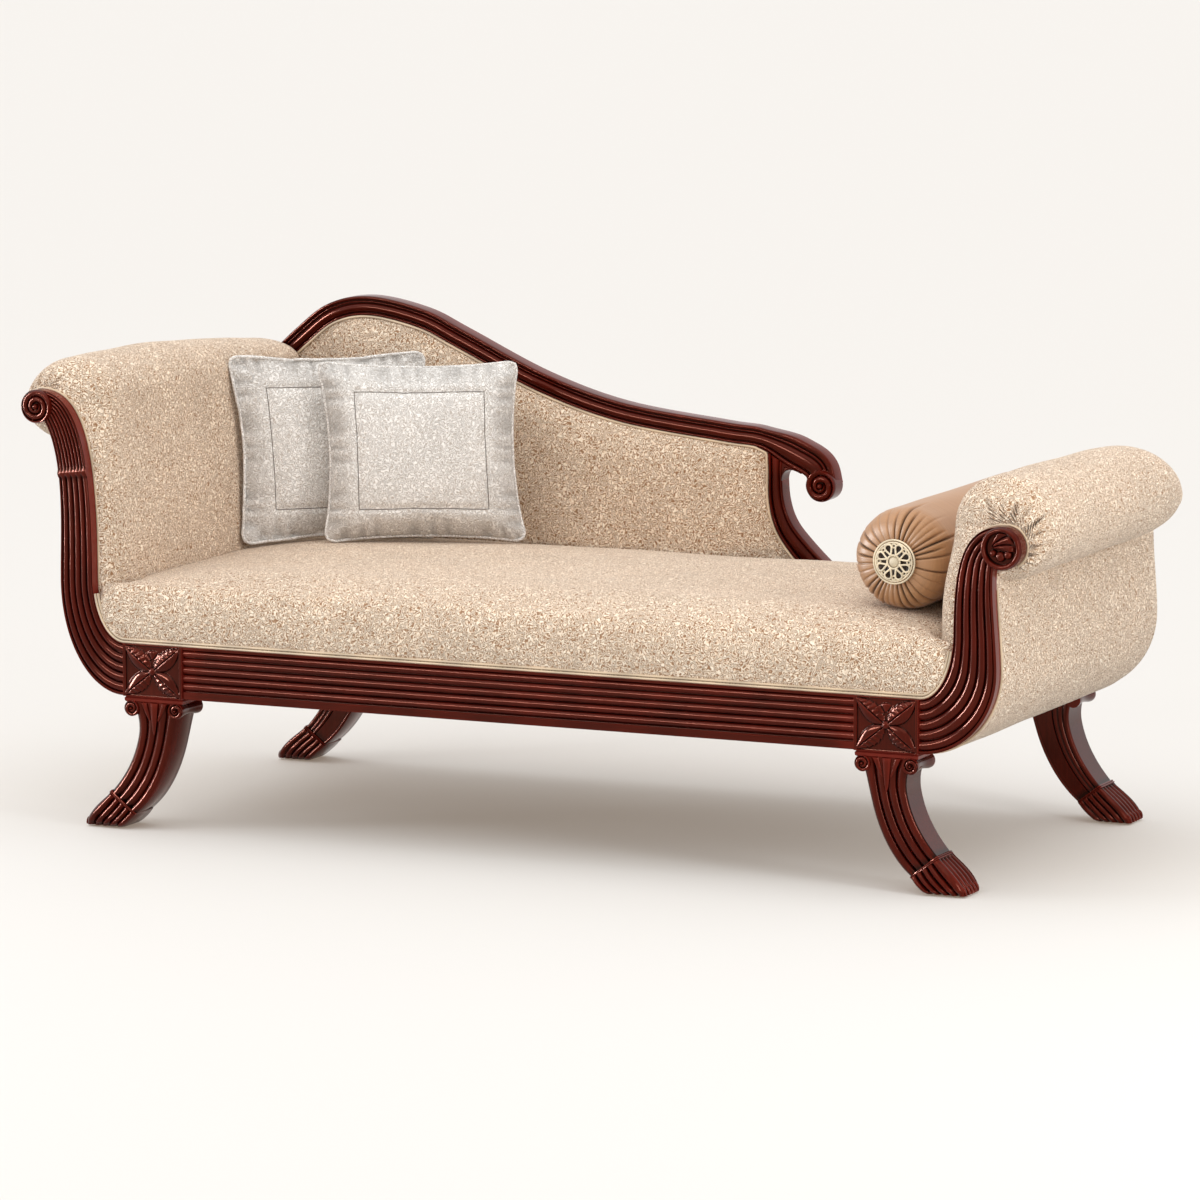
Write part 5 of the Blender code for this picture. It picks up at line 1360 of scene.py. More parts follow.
def pulled_in(outline, inset):
    """Closed outline moved in square to itself."""
    wrapped = [outline[-1]] + outline + [outline[0]]
    return offset_line(wrapped, inset)[1:-1]


def facing_outline(arm):
    """Outline of an arm's end: outside S, round the scroll, and back down the inside S."""
    outer = outer_edge(arm)
    inner = inner_edge(arm)
    start = math.atan2(outer[-1][1] - arm.scroll[1], outer[-1][0] - arm.scroll[0])
    line = outer + arc(arm.scroll, arm.radius, start, math.pi / 2, 36)[:-1] + inner[::-1]
    points = [(arm.side * (BLOCK_OUTER + x), z) for x, z in line]
    return points if arm.side > 0 else points[::-1]


def roll_under(arm, y):
    """Height of the underside of an arm's roll at one depth."""
    back = arm.rear - BACK_THICKNESS - GAP
    return min(z for _, z in arm_section(arm, arm_swell(arm, min(y, back)), 0.0)[-60:])


def outside_panel(arm):
    """Cover on the outside of an arm, stretched over thin wadding."""
    place = arm_place(arm)
    line = outer_edge(arm)
    front = POST_DEPTH + GAP
    back = arm.rear - FACING_THICKNESS - GAP
    rings = []
    for k in range(41):
        share = k / 40
        y = front + (back - front) * share
        edge = min(smooth(share / 0.06), smooth((1 - share) / 0.06))
        top = min(roll_under(arm, y) + 0.002, line[-1][1] - 0.002)
        outer = [point for point in line if point[1] < top]
        outer = even(outer + [(value_at(line[24:], 1, top, 0), top)], 70)
        under = [(max(x, GAP), z) for x, z in offset_line(outer, PANEL_THICKNESS)]
        out = []
        for j, (point, behind) in enumerate(zip(outer, under)):
            rise = min(smooth(j / 6), smooth((69 - j) / 6))
            puff = 0.0030 * edge * rise + 0.0012 * noise.noise(Vector((j * 0.11, y * 7, arm.side)))
            grow = puff / PANEL_THICKNESS
            out.append(mix(point, behind, -grow) if rise > 0 else point)
        rings.append([place(x, y, z) for x, z in out] + [place(x, y, z) for x, z in under[::-1]])
    name = arm.name + "_arm_outside_panel"
    obj = made_piece(name + "_covered", [skin(rings)], "vermicular_chenille",
                     replaced=[name], angle=60)


class CHAISE_OT_arm_covers(bpy.types.Operator):
    """Upholsters both arms: stuffed roll, outside cover and rear facing"""
    bl_idname = "chaise.arm_covers"
    bl_label = "Arm covers"

    def execute(self, context):
        for arm in (HEAD, FOOT):
            arm_pad(arm, context.scene.chaise_sizes)
            outside_panel(arm)
            rear_facing(arm)
            dress(f"rear_{arm.name}_arm_post", "sawn_beech")
            dress(f"{arm.name}_arm_top_rail", "sawn_beech")
            dress(f"{arm.name}_arm_tacking_rail", "sawn_beech")
        return {"FINISHED"}


def back_opening(columns, rows, low_z):
    """Grid of points under the crest, between the head arm and the end stile."""
    lower = crest_lines()[1]
    stile_left = stile_lines()[0]
    head = inner_edge(HEAD)
    left_top = lower[0][1] - 0.005
    right_top = value_at(lower, 0, stile_left[0][0], 1)
    grid = []
    for row in range(rows + 1):
        v = row / rows
        x_right = value_at(stile_left, 1, low_z + v * (right_top - low_z), 0) - 0.0008
        x_left = -BLOCK_OUTER - value_at(head, 1, low_z + v * (left_top - low_z), 0) + 0.0025 * (1 + 2 * v)
        line = []
        for column in range(columns + 1):
            x = x_left + column / columns * (x_right - x_left)
            top = value_at(lower, 0, x, 1) - 0.0006
            line.append((x, low_z + v * (top - low_z)))
        grid.append(line)
    return grid


def stuffed_panel(name, grid, front, back, node_name):
    """Closed panel over a grid of points, with a front depth for each row share and x."""
    rows = len(grid)
    columns = len(grid[0])
    points = []
    for row, line in enumerate(grid):
        points += [world(x, front(row / (rows - 1), x), z) for x, z in line]
    for line in grid:
        points += [world(x, back, z) for x, z in line]
    count = rows * columns
    faces = []
    for quad in grid_faces(columns, rows):
        faces += [quad, tuple(k + count for k in reversed(quad))]
    rim = grid_rim(columns, rows)
    faces += [(b, a, a + count, b + count) for a, b in zip(rim, rim[1:] + rim[:1])]
    obj = made_piece(name, [(points, faces)], "vermicular_chenille",
                     replaced=[node_name], angle=60)


class CHAISE_OT_back_covers(bpy.types.Operator):
    """Upholsters the inside back and stretches the outside back cover"""
    bl_idname = "chaise.back_covers"
    bl_label = "Back covers"

    def execute(self, context):
        low_z = RAIL_TOP + BACK_RAIL_HEIGHT + 2 * GAP
        start = -BLOCK_OUTER - inner_bend(HEAD)[0] + HEAD.crown + 0.006
        end = stile_lines()[0][0][0]

        def inside(v, x):
            across = min(max((x - start) / (end - start), 0.0), 1.0)
            swell = (1 - abs(2 * across - 1) ** 7) * (1 - abs(2 * v - 1) ** 6)
            soft = 0.002 * noise.noise(Vector((x * 6, v * 4, 3.0)))
            return BACK_FRONT + 0.004 - (BACK_PAD_CROWN + soft) * swell

        def outside(v, x):
            left = (x + BLOCK_OUTER) / 0.03
            edge = min(smooth(v / 0.03), smooth((1 - v) / 0.03), smooth(left))
            return FRAME_DEPTH - 0.003 + 0.002 * edge + 0.0035 * smooth((0.30 - v) / 0.10)
        grid = back_opening(110, 52, low_z)
        stuffed_panel("inside_back_stuffed", grid, inside, BACK_FRONT + 0.022, "inside_back_pad")
        stuffed_panel("outside_back_covered", back_opening(60, 40, RAIL_TOP + GAP), outside,
                      FRAME_DEPTH - 0.003 - PANEL_THICKNESS, "outside_back_panel")
        dress("back_bottom_rail", "sawn_beech")
        return {"FINISHED"}


def seat_rear(x):
    """Rear edge of the seat: in front of the back, and out to the rear rail past the stile."""
    hidden = BACK_FRONT - BACK_PAD_CROWN - 0.0012
    share = smooth((x - stile_lines()[1][-1][0] - 0.006) / 0.05)
    return hidden + (FRAME_DEPTH - 0.008 - hidden) * share


def seat_end(arm, z, y):
    """Where the seat meets an arm at one height and depth."""
    line = quarter((GAP, RAIL_TOP + GAP), inner_bend(arm), 24)
    back = arm.rear - BACK_THICKNESS - GAP
    if y > back:
        swell = 1.0 if arm is HEAD else 0.66 * smooth((FRAME_DEPTH - y) / (FRAME_DEPTH - back) + 0.6)
    else:
        swell = arm_swell(arm, max(y, POST_DEPTH + GAP))
    return arm.side * (BLOCK_OUTER + value_at(line, 1, z, 0) - arm.crown * swell - 0.0012)


def corner_fall(distance, radius):
    """Fall of a round corner at a distance from its end."""
    short = min(max(radius - distance, 0.0), radius)
    return radius - math.sqrt(radius * radius - short * short)


def stuffed_seat(sizes):
    """Seat with a rolled front edge and a crowned top, tucked in along the arms and the back."""
    columns = 150
    turn = 2 * math.pi
    across = [k / columns - 0.86 * math.sin(turn * k / columns) / turn for k in range(columns + 1)]
    base = RAIL_TOP + GAP
    levels = [(0.0, 0.012), (0.06, 0.0065), (0.15, 0.0035), (0.28, 0.0018), (0.42, 0.0014), (0.58, 0.0022),
              (0.70, 0.0046), (0.82, 0.0088), (0.91, 0.0140), (1.0, SEAT_NOSE)]
    rear_table = [(x, seat_rear(x)) for x in np.linspace(-0.95, 0.95, 120)]
    depths = [SEAT_NOSE + 0.80 * (0.35 * t + 0.65 * t * t) for t in np.linspace(0.0, 1.0, 40)][1:]
    last = len(depths) + 1

    def spot(u, row, z, nose):
        y = nose if row == 0 else (depths[row - 1] if row < last else 0.84)
        ends = [seat_end(arm, z, y) for arm in (HEAD, FOOT)]
        x = ends[0] + u * (ends[1] - ends[0])
        rear = value_at(rear_table, 0, x, 1)
        if row == last:
            y = rear
        elif row:
            y = min(y, rear - 0.004 * (last - row))
        end = min(x - ends[0], ends[1] - x)
        if row == 0:
            y += corner_fall(end, 0.016)
        return x, y, corner_fall(end, SEAT_CORNER) * (1 - smooth((y - 0.03) / 0.13))
    order = [(k, 0) for k in range(columns + 1)] + [(columns, row) for row in range(1, last + 1)]
    order += [(k, last) for k in range(columns - 1, -1, -1)] + [(0, row) for row in range(last - 1, 0, -1)]
    rings = []
    for share, nose in levels:
        z = base + share * (SEAT_EDGE - base)
        ring = []
        for column, row in order:
            x, y, drop = spot(across[column], row, z, nose)
            ring.append(world(x, y, z - drop * share))
        rings.append(ring)
    # The underside is one face; the top is a grid on the last ring
    points, faces = skin(rings, caps=False)
    count = len(order)
    faces.append(tuple(range(count)))
    top = (len(rings) - 1) * count
    index = {key: top + k for k, key in enumerate(order)}
    for row in range(1, last):
        for column in range(1, columns):
            u = across[column]
            x, y, drop = spot(u, row, SEAT_EDGE, SEAT_NOSE)
            front_share = min((y - SEAT_NOSE) / SEAT_FRONT_ROLL, 1.0)
            rear_share = min(max(value_at(rear_table, 0, x, 1) - y, 0.0) / SEAT_REAR_FALL, 1.0)
            side = 1 - abs(2 * u - 1) ** (6 if u < 0.5 else 14)
            crown = sizes.seat_head_crown + (sizes.seat_foot_crown - sizes.seat_head_crown) * u
            rise = crown * side * (1 - (1 - front_share) ** 2.2) * (1 - (1 - rear_share) ** 2.2)
            soft = 0.0025 * noise.noise(Vector((x * 5, y * 5, 1.0))) * side * front_share
            index[column, row] = len(points)
            points.append(world(x, y, SEAT_EDGE + rise + soft - drop))
    for row in range(last):
        for column in range(columns):
            keys = ((column, row), (column + 1, row), (column + 1, row + 1), (column, row + 1))
            faces.append(tuple(index[key] for key in keys))
    obj = made_piece("seat_stuffed", [(points, faces)], "vermicular_chenille",
                     replaced=["seat_pad"], angle=75)


class CHAISE_OT_seat(bpy.types.Operator):
    """Upholsters the seat"""
    bl_idname = "chaise.seat"
    bl_label = "Seat"

    def execute(self, context):
        stuffed_seat(context.scene.chaise_sizes)
        return {"FINISHED"}


SEAT_PIPING_DEPTH = 0.0045


class CHAISE_OT_piping(bpy.types.Operator):
    """Sews the cream piping along the wood"""
    bl_idname = "chaise.piping"
    bl_label = "Piping"

    def execute(self, context):
        r = context.scene.chaise_sizes.piping
        paths = []
        for arm in (HEAD, FOOT):
            place = arm_place(arm)
            inner = [p for p in inner_edge(arm) if p[1] > SEAT_EDGE - 0.01]
            stop = math.radians(-60 if arm is FOOT else 20)
            line = even(inner + arc(arm.scroll, arm.radius, math.radians(90), stop, 29), 110)
            paths.append([place(x, POST_DEPTH + 0.7 * r, z) for x, z in offset_line(line, 0.6 * r)])
            outer = even([p for p in outer_edge(arm) if p[1] < arm_rail_top(arm)], 90)
            paths.append([place(x, POST_DEPTH + r, z) for x, z in offset_line(outer, -0.3 * r)])
        corded_piece("arm_piping", paths, r, "cream_piping")
        bends = []
        for arm in (HEAD, FOOT):
            low = [point for point in inner_edge(arm) if point[1] < SEAT_EDGE - 0.012]
            bends.append([(arm.side * (BLOCK_OUTER + x), z) for x, z in low])
        line = even(bends[0][::-1] + bends[1], 240)
        front_paths = []
        for above, behind in ((1.0, 0.0), (3.2, 0.6)):
            front_paths.append([world(x, SEAT_PIPING_DEPTH + behind * r, z)
                                for x, z in offset_line(line, above * r)])
        corded_piece("seat_piping", front_paths, r, "cream_piping")
        lower = crest_lines()[1]
        left = stile_lines()[0]
        eased_line = corner_lines(left, INNER_WEB)[1]
        under = [p for p in lower if lower[0][0] + 0.01 < p[0] < eased_line[-1][0]]
        down = [p for p in left if SEAT_EDGE - 0.02 < p[1] < eased_line[0][1]]
        inside = even(under + eased_line[::-1] + down, 180)
        back_paths = []
        for edge, y in ((inside, BACK_FRONT + 0.001), (even(under, 120), FRAME_DEPTH - 0.0025)):
            back_paths.append([world(x, y, z) for x, z in offset_line(edge, -0.9 * r)])
        corded_piece("back_piping", back_paths, r, "cream_piping")
        return {"FINISHED"}


Pillow = namedtuple("Pillow", "name height crown turn lean slant aside")
PILLOW_WIDTH = 0.402
PILLOW_BACK = 0.034
PILLOW_STITCH = 0.078
PILLOW_CORNER = 0.028
PILLOW_DRAW_IN = (0.090, 0.065)
PILLOW_BEFORE_SWELL = 0.93
PILLOW_PIPING = 0.0030
PILLOW_THREAD = 0.0009
CLOTH_FRAMES = 20
PILLOWS = (Pillow("right_pillow", 0.362, 0.056, math.radians(26), math.radians(9), 0.040, 0.0),
           Pillow("left_pillow", 0.376, 0.045, math.radians(38), math.radians(6), 0.055, 0.008))


def swollen(obj, cap):
    """Lets the filling press a cover outwards and keeps the result in the mesh."""
    mesh = obj.data
    rest = np.array([vert.co for vert in mesh.vertices])
    cloth = obj.modifiers.new("filling", "CLOTH")
    cloth.settings.quality = 5
    cloth.settings.mass = 0.3
    cloth.settings.tension_stiffness = 25
    cloth.settings.compression_stiffness = 25
    cloth.settings.bending_stiffness = 1.5
    cloth.settings.use_pressure = True
    cloth.settings.uniform_pressure_force = 4.0
    cloth.settings.effector_weights.gravity = 0.0
    scene = bpy.context.scene
    for moment in range(1, CLOTH_FRAMES + 1):
        scene.frame_set(moment)
    graph = bpy.context.evaluated_depsgraph_get()
    shape = obj.evaluated_get(graph).data
    now = np.array([vert.co for vert in shape.vertices])
    obj.modifiers.remove(cloth)
    scene.frame_set(1)
    move = now - rest
    far = np.linalg.norm(move, axis=1, keepdims=True)
    move *= np.minimum(1.0, cap / np.maximum(far, 1e-9))
    mesh.vertices.foreach_set("co", (rest + move).astype(np.float32).ravel())
    mesh.update()


def rounded(a, b, half_a, half_b):
    """Point of a square cover moved so that the corners are round."""
    corner = PILLOW_CORNER
    over_a = abs(a) - (half_a - corner)
    over_b = abs(b) - (half_b - corner)
    if over_a <= 0 or over_b <= 0:
        return a, b
    pull = max(over_a, over_b) / math.hypot(over_a, over_b)
    return (math.copysign(half_a - corner + over_a * pull, a),
            math.copysign(half_b - corner + over_b * pull, b))


def pillow(made, sizes):
    """Square cushion with drawn-in sides, a stitched inner square and piping round its edge."""
    low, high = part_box(made.name)
    count = 64
    steps = [2 * k / count - 1 for k in range(count + 1)]
    line = [math.sin(math.pi / 2 * step) * 0.35 + step * 0.65 for step in steps]
    turn = made.turn
    lean = made.lean
    across = Vector((math.cos(turn), math.sin(turn), 0.0))
    up = Vector((-math.sin(turn) * math.sin(lean), math.cos(turn) * math.sin(lean), math.cos(lean)))
    normal = Vector((math.sin(turn) * math.cos(lean), -math.cos(turn) * math.cos(lean), math.sin(lean)))
    stitch = 1 - 2 * PILLOW_STITCH / PILLOW_WIDTH
    local = []
    shade_shares = []
    index = {}
    for face in (1, -1):
        for i, u in enumerate(line):
            for j, v in enumerate(line):
                border = i in (0, count) or j in (0, count)
                if border and face == -1:
                    index[face, i, j] = index[1, i, j]
                    continue
                a, b = rounded(PILLOW_WIDTH / 2 * u, made.height / 2 * v, PILLOW_WIDTH / 2, made.height / 2)
                a *= 1 - PILLOW_DRAW_IN[0] * (1 - v * v) * u * u
                b *= 1 - PILLOW_DRAW_IN[1] * (1 - u * u) * v * v
                a -= made.slant * b
                crown = ((1 - abs(u) ** 3) * (1 - abs(v) ** 3)) ** 0.66
                edge = max(abs(u), abs(v))
                pull = min(abs(edge - stitch - 0.02) / 0.045, 1.0)
                out = made.crown * PILLOW_BEFORE_SWELL * crown - 0.0050 * (1 - pull) ** 0.8
                if face == -1:
                    out = -PILLOW_BACK * PILLOW_BEFORE_SWELL * crown
                run = u if abs(v) > abs(u) else v
                pucker = math.sin(27 * run + 2.2 * math.sin(9 * run + v) + 3 * face)
                out += face * 0.0040 * pucker * edge ** 6 * (1 - edge ** 30)
                # Painted shade: darker towards the edges of the cover and in the valleys of the puckers
                folds = max(0.0, -pucker) * smooth((edge - 0.66) / 0.30)
                shade_shares.append(0.24 * smooth((edge - 0.58) / 0.42) + 0.34 * folds)
                index[face, i, j] = len(local)
                local.append(across * a + up * b + normal * out)
    lowest = Vector([min(p[k] for p in local) for k in range(3)])
    highest = Vector([max(p[k] for p in local) for k in range(3)])
    shift = (low + high) / 2 - (lowest + highest) / 2
    shift.z = low.z - lowest.z - 0.003
    shift.x -= made.aside
    points = [tuple(p + shift) for p in local]
    faces = []
    for face in (1, -1):
        for i in range(count):
            for j in range(count):
                keys = ((i, j), (i + 1, j), (i + 1, j + 1), (i, j + 1))
                faces.append(tuple(index[face, a, b] for a, b in keys[::face]))
    obj = made_piece(made.name + "_stuffed", [(points, faces)], "silver_flecked_chenille",
                     made.name, [made.name], angle=80, shade_shares=shade_shares)
    swollen(obj, sizes.pillow_cap)
    place = [vert.co.copy() for vert in obj.data.vertices]
    rim = [index[1, i, 0] for i in range(count)] + [index[1, count, j] for j in range(count)]
    rim += [index[1, i, count] for i in range(count, 0, -1)] + [index[1, 0, j] for j in range(count, 0, -1)]
    corded_piece(made.name + "_piping", [[tuple(place[k]) for k in rim]], PILLOW_PIPING,
                 "silver_flecked_chenille", made.name, loop=True)
    reach = stitch + 0.03
    a, b = [min(range(count + 1), key=lambda k: abs(line[k] - side * reach)) for side in (-1, 1)]
    square = [(i, a) for i in range(a, b)] + [(b, j) for j in range(a, b)]
    square += [(i, b) for i in range(b, a, -1)] + [(a, j) for j in range(b, a, -1)]
    sewn = [tuple(place[index[1, i, j]] + normal * 0.0003) for i, j in square]
    corded_piece(made.name + "_stitching", [sewn], PILLOW_THREAD, "stitch_thread",
                 made.name, loop=True, sides=6)


class CHAISE_OT_pillows(bpy.types.Operator):
    """Fills and sews the two square cushions"""
    bl_idname = "chaise.pillows"
    bl_label = "Cushions"

    def execute(self, context):
        for made in PILLOWS:
            pillow(made, context.scene.chaise_sizes)
        return {"FINISHED"}


PLEAT_DEPTH = 0.0085
ROSETTE_CORD = 0.0017
ROSETTE_SEAT = 0.0065
ROSETTE_BOSS = (0.26, 0.0055)


def bolster_rings(x, z, front, back, radius, pleats):
    """Rings of a bolster whose ends are drawn together in uneven pleats."""
    around = pleats * 12
    sides = []
    for t in np.linspace(0.0, 1.0, 26):
        angle = math.pi / 2 * t
        sides.append((0.006 + 0.060 * (1 - math.cos(angle)) ** 1.25 - 0.003 * math.sin(math.pi * t),
                      0.30 + 0.70 * math.sin(angle) ** 0.9))
    stations = [(front + depth, share, depth) for depth, share in sides]
    stations += [(front + depth, 1.0, depth) for depth in (0.075, 0.09, 0.11, 0.14, 0.2)]
    stations += [(front + (back - front) * 0.5, 1.0, 0.3)]
    stations += [(back - (y - front), share, depth) for y, share, depth in reversed(stations[:-1])]
    marks = []
    for k in range(pleats):
        jitter = 0.75 * math.sin(12.9 * k + 2.0) / pleats
        length = 0.070 + 0.040 * math.sin(4.1 * k)
        marks.append((k / pleats + jitter, 0.60 + 0.40 * math.sin(7.3 * k), length))
    rings = []
    shade_shares = []
    for k, (y, share, depth) in enumerate(stations):
        before = stations[max(k - 1, 0)]
        after = stations[min(k + 1, len(stations) - 1)]
        out = Vector(((before[1] - after[1]) * radius, after[0] - before[0])).normalized()
        ring = []
        for j in range(around):
            part = j / around
            angle = 2 * math.pi * part
            sink = 0.0
            for mark, deep, length in marks:
                off = (part - mark + 0.5) % 1.0 - 0.5
                off = off * 2 * math.pi * share * radius / (0.0007 + 0.0015 * share)
                if abs(off) < 3:
                    sink += deep * math.exp(-off * off) * smooth(1.15 - depth / length)
            soft = 0.0016 * noise.noise(Vector((math.cos(angle) * 3, y * 8, math.sin(angle) * 3)))
            # Painted shade in the pleats and over the drawn-in middle of each end, under the rosette
            shade_shares.append(min(1.0, max(sink - 0.1, 1.6 * smooth((0.42 - share) / 0.12), 0.0)))
            sink *= PLEAT_DEPTH * (0.35 + 0.65 * share)
            r = radius * share - sink * out[1] + soft * share
            ring.append(world(x + r * math.cos(angle), y - sink * out[0], z + r * math.sin(angle)))
        rings.append(ring)
    return rings, shade_shares


def as_given(x, y, z):
    return (x, y, z)


def rosette_paths(x, y, z, way, radius):
    """Cords of an openwork rosette: two rim rings, a small inner ring, eight looped petals and a curl
    between each pair of petals."""
    rings = []
    for reach, lift in ((0.97, 0.0), (0.86, 0.0012), (0.30, 0.003)):
        rings.append(round_ring(as_given, (x, z), reach * radius, 64, y + way * lift))
    for petal in range(8):
        middle = 2 * math.pi * (petal + 0.5) / 8
        loop = []
        for k in range(36):
            t = 2 * math.pi * k / 36
            reach = radius * (0.57 + 0.24 * math.cos(t))
            angle = middle + 0.30 * math.sin(t) * (0.75 + 0.35 * math.cos(t))
            lift = 0.0025 + 0.0015 * math.sin(t / 2)
            loop.append((x + reach * math.cos(angle), y + way * lift, z + reach * math.sin(angle)))
        rings.append(loop)
        curl = []
        for k in range(20):
            t = 2 * math.pi * k / 20
            reach = radius * (0.71 + 0.08 * math.cos(t))
            angle = middle + math.pi / 8 + 0.13 * math.sin(t)
            curl.append((x + reach * math.cos(angle), y + way * 0.0012, z + reach * math.sin(angle)))
        rings.append(curl)
    return rings


class CHAISE_OT_bolster(bpy.types.Operator):
    """Gathers the satin bolster and sets a corded rosette on each end"""
    bl_idname = "chaise.bolster"
    bl_label = "Bolster"

    def execute(self, context):
        low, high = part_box("bolster")
        radius = (high.z - low.z) / 2
        x = (low.x + high.x) / 2
        z = (low.z + high.z) / 2
        front = low.y - FRONT
        back = high.y - FRONT
        pleats = context.scene.chaise_sizes.bolster_pleats
        rings, shade_shares = bolster_rings(x, z, front, back, radius, pleats)
        obj = made_piece("bolster_gathered", [skin(rings)], "gathered_satin", "bolster",
                         ["bolster"], angle=80, shade_shares=shade_shares)
        for label, way in (("front", -1), ("rear", 1)):
            near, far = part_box(f"bolster_{label}_rosette")
            reach = (far.z - near.z) / 2
            y = far.y - ROSETTE_SEAT if way < 0 else near.y + ROSETTE_SEAT
            shells, places = cords(rosette_paths(x, y, z, way, reach), ROSETTE_CORD, loop=True)
            boss = []
            for k in range(9):
                t = k / 8
                wide = ROSETTE_BOSS[0] * reach * math.sqrt(max(0.01, 1 - (0.98 * t) ** 2))
                lift = way * (ROSETTE_BOSS[1] * t - 0.001)
                boss.append(round_ring(as_given, (x, z), wide, 24, y + lift))
            shells.append(skin(boss))
            places += [(0.004 * math.cos(k), 0.002) for k in range(9 * 24)]
            made_piece(f"bolster_{label}_rosette_corded", shells, "gilded_cord", "bolster",
                       [f"bolster_{label}_rosette"], angle=70, uv=places)
        return {"FINISHED"}


WEB_THICKNESS = 0.0009
WEB_LIFT = 0.0007
WEB_SHARE = 0.34
LINING_SAG = 0.004
LINING_THICKNESS = 0.0008


def strap(points, half):
    """Flat strap along a path; half is its sideways reach in x and y."""
    rings = []
    for x, y, z in points:
        left = (x - half[0], y - half[1])
        right = (x + half[0], y + half[1])
        low = z - WEB_THICKNESS
        rings.append([(*left, z), (*right, z), (*right, low), (*left, low)])
    return skin(rings)


class CHAISE_OT_underside(bpy.types.Operator):
    """Weaves the seat webbing, stretches the lining and finishes the hidden timber"""
    bl_idname = "chaise.underside"
    bl_label = "Webbing and lining"

    def execute(self, context):
        low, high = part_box("seat_webbing")
        shells = []
        across = 8
        along = 4
        x_pitch = 2 * BLOCK_INNER / across
        y_low = FRONT + BLOCK_DEPTH
        y_pitch = (FRAME_DEPTH - 2 * BLOCK_DEPTH) / along
        top = high.z - WEB_THICKNESS
        for k in range(across):
            x = -BLOCK_INNER + (k + 0.5) * x_pitch
            points = []
            for step in range(33):
                y = low.y + (high.y - low.y) * step / 32
                lift = WEB_LIFT * math.cos(math.pi * ((y - y_low) / y_pitch - 0.5 + k))
                points.append((x, y, top + lift))
            shells.append(strap(points, (WEB_SHARE * x_pitch, 0.0)))
        for k in range(along):
            y = y_low + (k + 0.5) * y_pitch
            points = []
            for step in range(65):
                x = low.x + (high.x - low.x) * step / 64
                lift = -WEB_LIFT * math.cos(math.pi * ((x + BLOCK_INNER) / x_pitch - 0.5 + k))
                points.append((x, y, top + lift))
            shells.append(strap(points, (0.0, WEB_SHARE * y_pitch)))
        made_piece("seat_webbing_woven", shells, "lining_canvas", replaced=["seat_webbing"])
        low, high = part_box("dust_cover")
        columns = 48
        rows = 30
        rings = []
        for row in range(rows + 1):
            v = row / rows
            line = []
            for column in range(columns + 1):
                u = column / columns
                sag = LINING_SAG * (1 - (2 * u - 1) ** 4) * (1 - (2 * v - 1) ** 4)
                x = low.x + u * (high.x - low.x)
                line.append((x, low.y + v * (high.y - low.y), high.z - 0.0004 - sag))
            under = [(x, y, z - LINING_THICKNESS) for x, y, z in reversed(line)]
            rings.append(line + under)
        obj = made_piece("dust_cover_stretched", [skin(rings)], "lining_canvas",
                         replaced=["dust_cover"])
        for hand in ("left", "right"):
            dress(f"{hand}_end_rail", "sawn_beech")
            dress(f"{hand}_seat_stretcher", "sawn_beech")
            for end in ("front", "rear"):
                dress(f"{end}_{hand}_corner_brace", "sawn_beech")
        return {"FINISHED"}


def lamp(name, place, aim, wide, tall, power, gloss_only=False):
    """Soft box turned to a point. One for gloss only shows in polish and leaves the colours as they are."""
    data = bpy.data.lights.new(name, "AREA")
    data.shape = "RECTANGLE"
    data.size = wide
    data.size_y = tall
    data.energy = power
    obj = placed(name, data)
    obj.location = place
    obj.rotation_euler = turned_to(Vector(aim) - Vector(place))
    obj.visible_diffuse = not gloss_only


def turned_to(direction):
    """Rotation of a lamp that shines in a direction."""
    return Vector(direction).to_track_quat("-Z", "Y").to_euler()


def shown_rays(tree):
    """1 for the rays that show the background: seen, mirrored or through glass."""
    rays = node(tree, "LightPath")
    seen = node(tree, "Math", {0: rays["Is Camera Ray"], 1: rays["Is Glossy Ray"]},
                operation="ADD")["Value"]
    return node(tree, "Math", {0: seen, 1: rays["Is Transmission Ray"]}, operation="ADD",
                use_clamp=True)["Value"]


FLOOR_REACH = 40.0
FLOOR_GLOW = 0.198
SKY_LIGHT = 0.95
KEY_LIGHT = 1.52


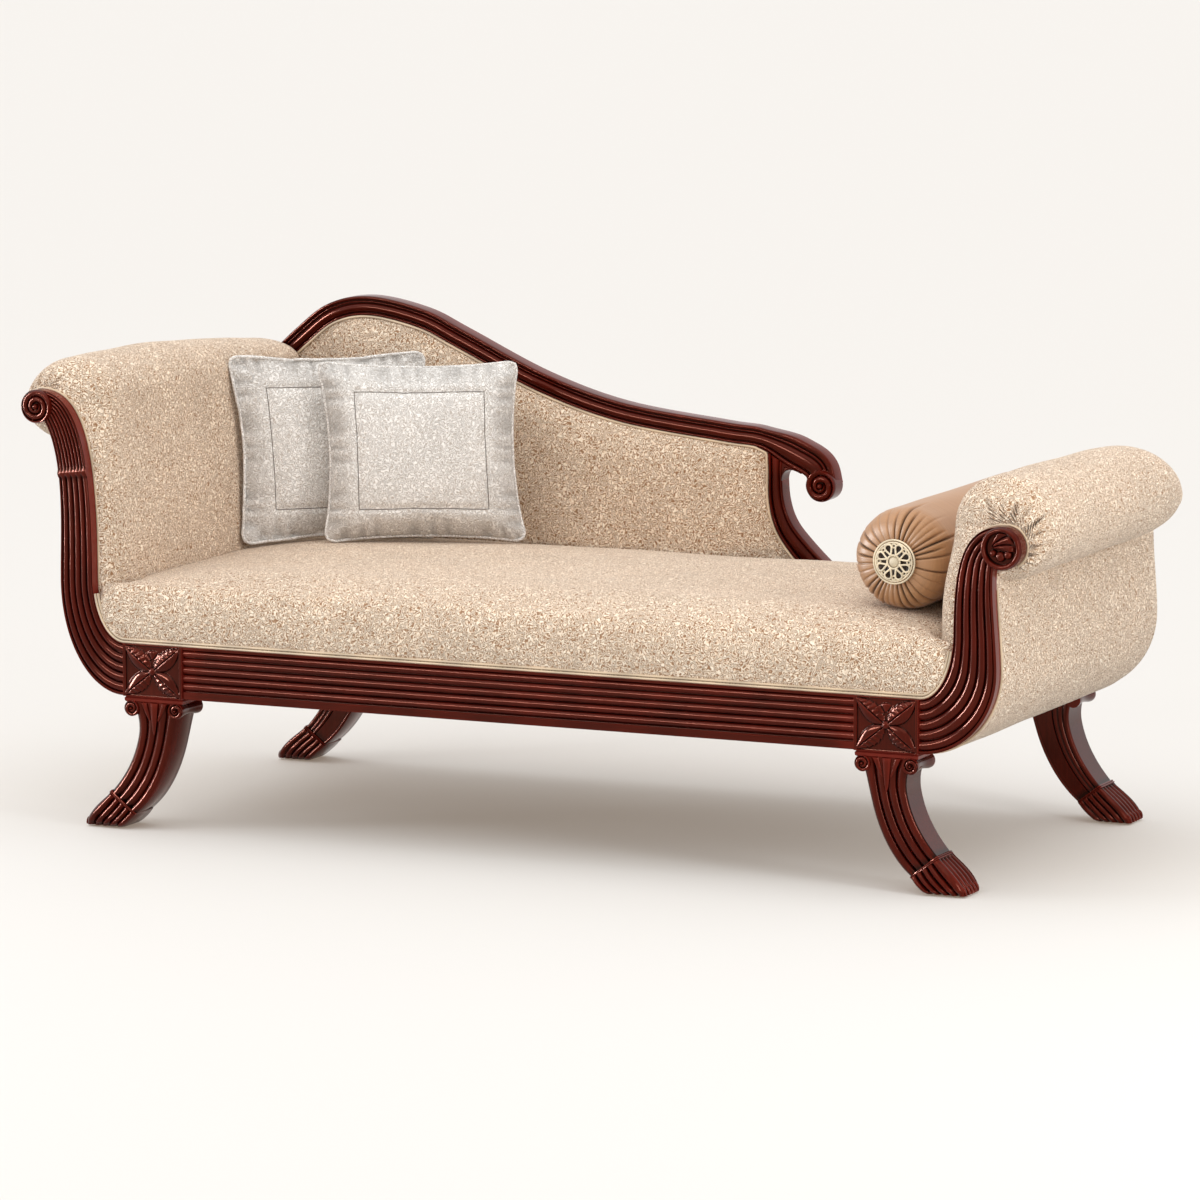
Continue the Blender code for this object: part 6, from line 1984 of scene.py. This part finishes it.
class CHAISE_OT_stage(bpy.types.Operator):
    """Sets the floor, lamps, background and camera"""
    bl_idname = "chaise.stage"
    bl_label = "Studio"

    def execute(self, context):
        scene = context.scene
        colours = scene.chaise_colours
        floor = bpy.data.meshes.new("studio_floor")
        corners = ((-1, -1), (1, -1), (1, 1), (-1, 1))
        floor.from_pydata([(x * FLOOR_REACH, y * FLOOR_REACH, 0) for x, y in corners], [], [(0, 1, 2, 3)])
        made, tree, shader = blank("painted_floor")
        shader.inputs["Base Color"].default_value = opaque(colours.floor)
        shader.inputs["Roughness"].default_value = 0.85
        shader.inputs["Emission Color"].default_value = opaque(linear("#FFE1C3"))
        glow = node(tree, "Math", {0: shown_rays(tree), 1: FLOOR_GLOW}, operation="MULTIPLY")["Value"]
        tree.links.new(glow, shader.inputs["Emission Strength"])
        floor.materials.append(made)
        obj = placed("studio_floor", floor)
        scene.world = bpy.data.worlds.new("studio")
        scene.world.use_nodes = True
        back = scene.world.node_tree.nodes["Background"]
        back.inputs["Color"].default_value = (1.0, 1.0, 1.0, 1.0)
        back.inputs["Strength"].default_value = SKY_LIGHT
        sun = bpy.data.lights.new("key", "SUN")
        sun.energy = KEY_LIGHT
        sun.angle = math.radians(80)
        placed("key", sun).rotation_euler = turned_to((0.10, 0.28, -1.0))
        lamp("front_box", (-1.9, -4.4, 2.4), (0.0, -0.3, 0.45), 2.4, 0.5, 175.0, gloss_only=True)
        lamp("left_strip", (-3.4, -2.2, 1.1), (-0.4, -0.3, 0.55), 0.40, 2.0, 360.0, gloss_only=True)
        lamp("right_strip", (4.2, -1.6, 1.3), (0.0, -0.1, 0.55), 0.60, 2.2, 58.0)
        scene.view_settings.view_transform = "Standard"
        camera = bpy.data.cameras.new("photo_camera")
        camera.lens = 210.0
        camera.sensor_width = 36.0
        camera.clip_end = 200.0
        eye = placed("photo_camera", camera)
        eye.location = (5.34986, -11.81305, 2.32293)
        eye.rotation_euler = (math.radians(81.6689), 0.0, math.radians(24.464))
        scene.camera = eye
        return {"FINISHED"}


class CHAISE_PT_dressing(bpy.types.Panel):
    """Lists the steps and the sizes and colours they use"""
    bl_idname = "CHAISE_PT_dressing"
    bl_label = "Carved chaise longue"
    bl_space_type = "VIEW_3D"
    bl_region_type = "UI"
    bl_category = "Chaise"

    def draw(self, context):
        for group in (context.scene.chaise_sizes, context.scene.chaise_colours):
            for key in group.bl_rna.properties.keys():
                if key not in ("rna_type", "name"):
                    self.layout.prop(group, key)
        for step in STEPS:
            self.layout.operator(step.bl_idname)


STEPS = (CHAISE_OT_stage, CHAISE_OT_seat_rails, CHAISE_OT_legs, CHAISE_OT_arm_posts, CHAISE_OT_back_frame,
         CHAISE_OT_arm_covers, CHAISE_OT_back_covers, CHAISE_OT_seat, CHAISE_OT_piping, CHAISE_OT_pillows,
         CHAISE_OT_bolster, CHAISE_OT_underside)
CLASSES = (ChaiseSizes, ChaiseColours, *STEPS, CHAISE_PT_dressing)


def register():
    for item in CLASSES:
        bpy.utils.register_class(item)
    bpy.types.Scene.chaise_sizes = PointerProperty(type=ChaiseSizes)
    bpy.types.Scene.chaise_colours = PointerProperty(type=ChaiseColours)


def unregister():
    del bpy.types.Scene.chaise_sizes
    del bpy.types.Scene.chaise_colours
    for item in reversed(CLASSES):
        bpy.utils.unregister_class(item)


def main():
    register()
    for step in STEPS:
        group, name = step.bl_idname.split(".")
        getattr(getattr(bpy.ops, group), name)()


if __name__ == "__main__":
    main()
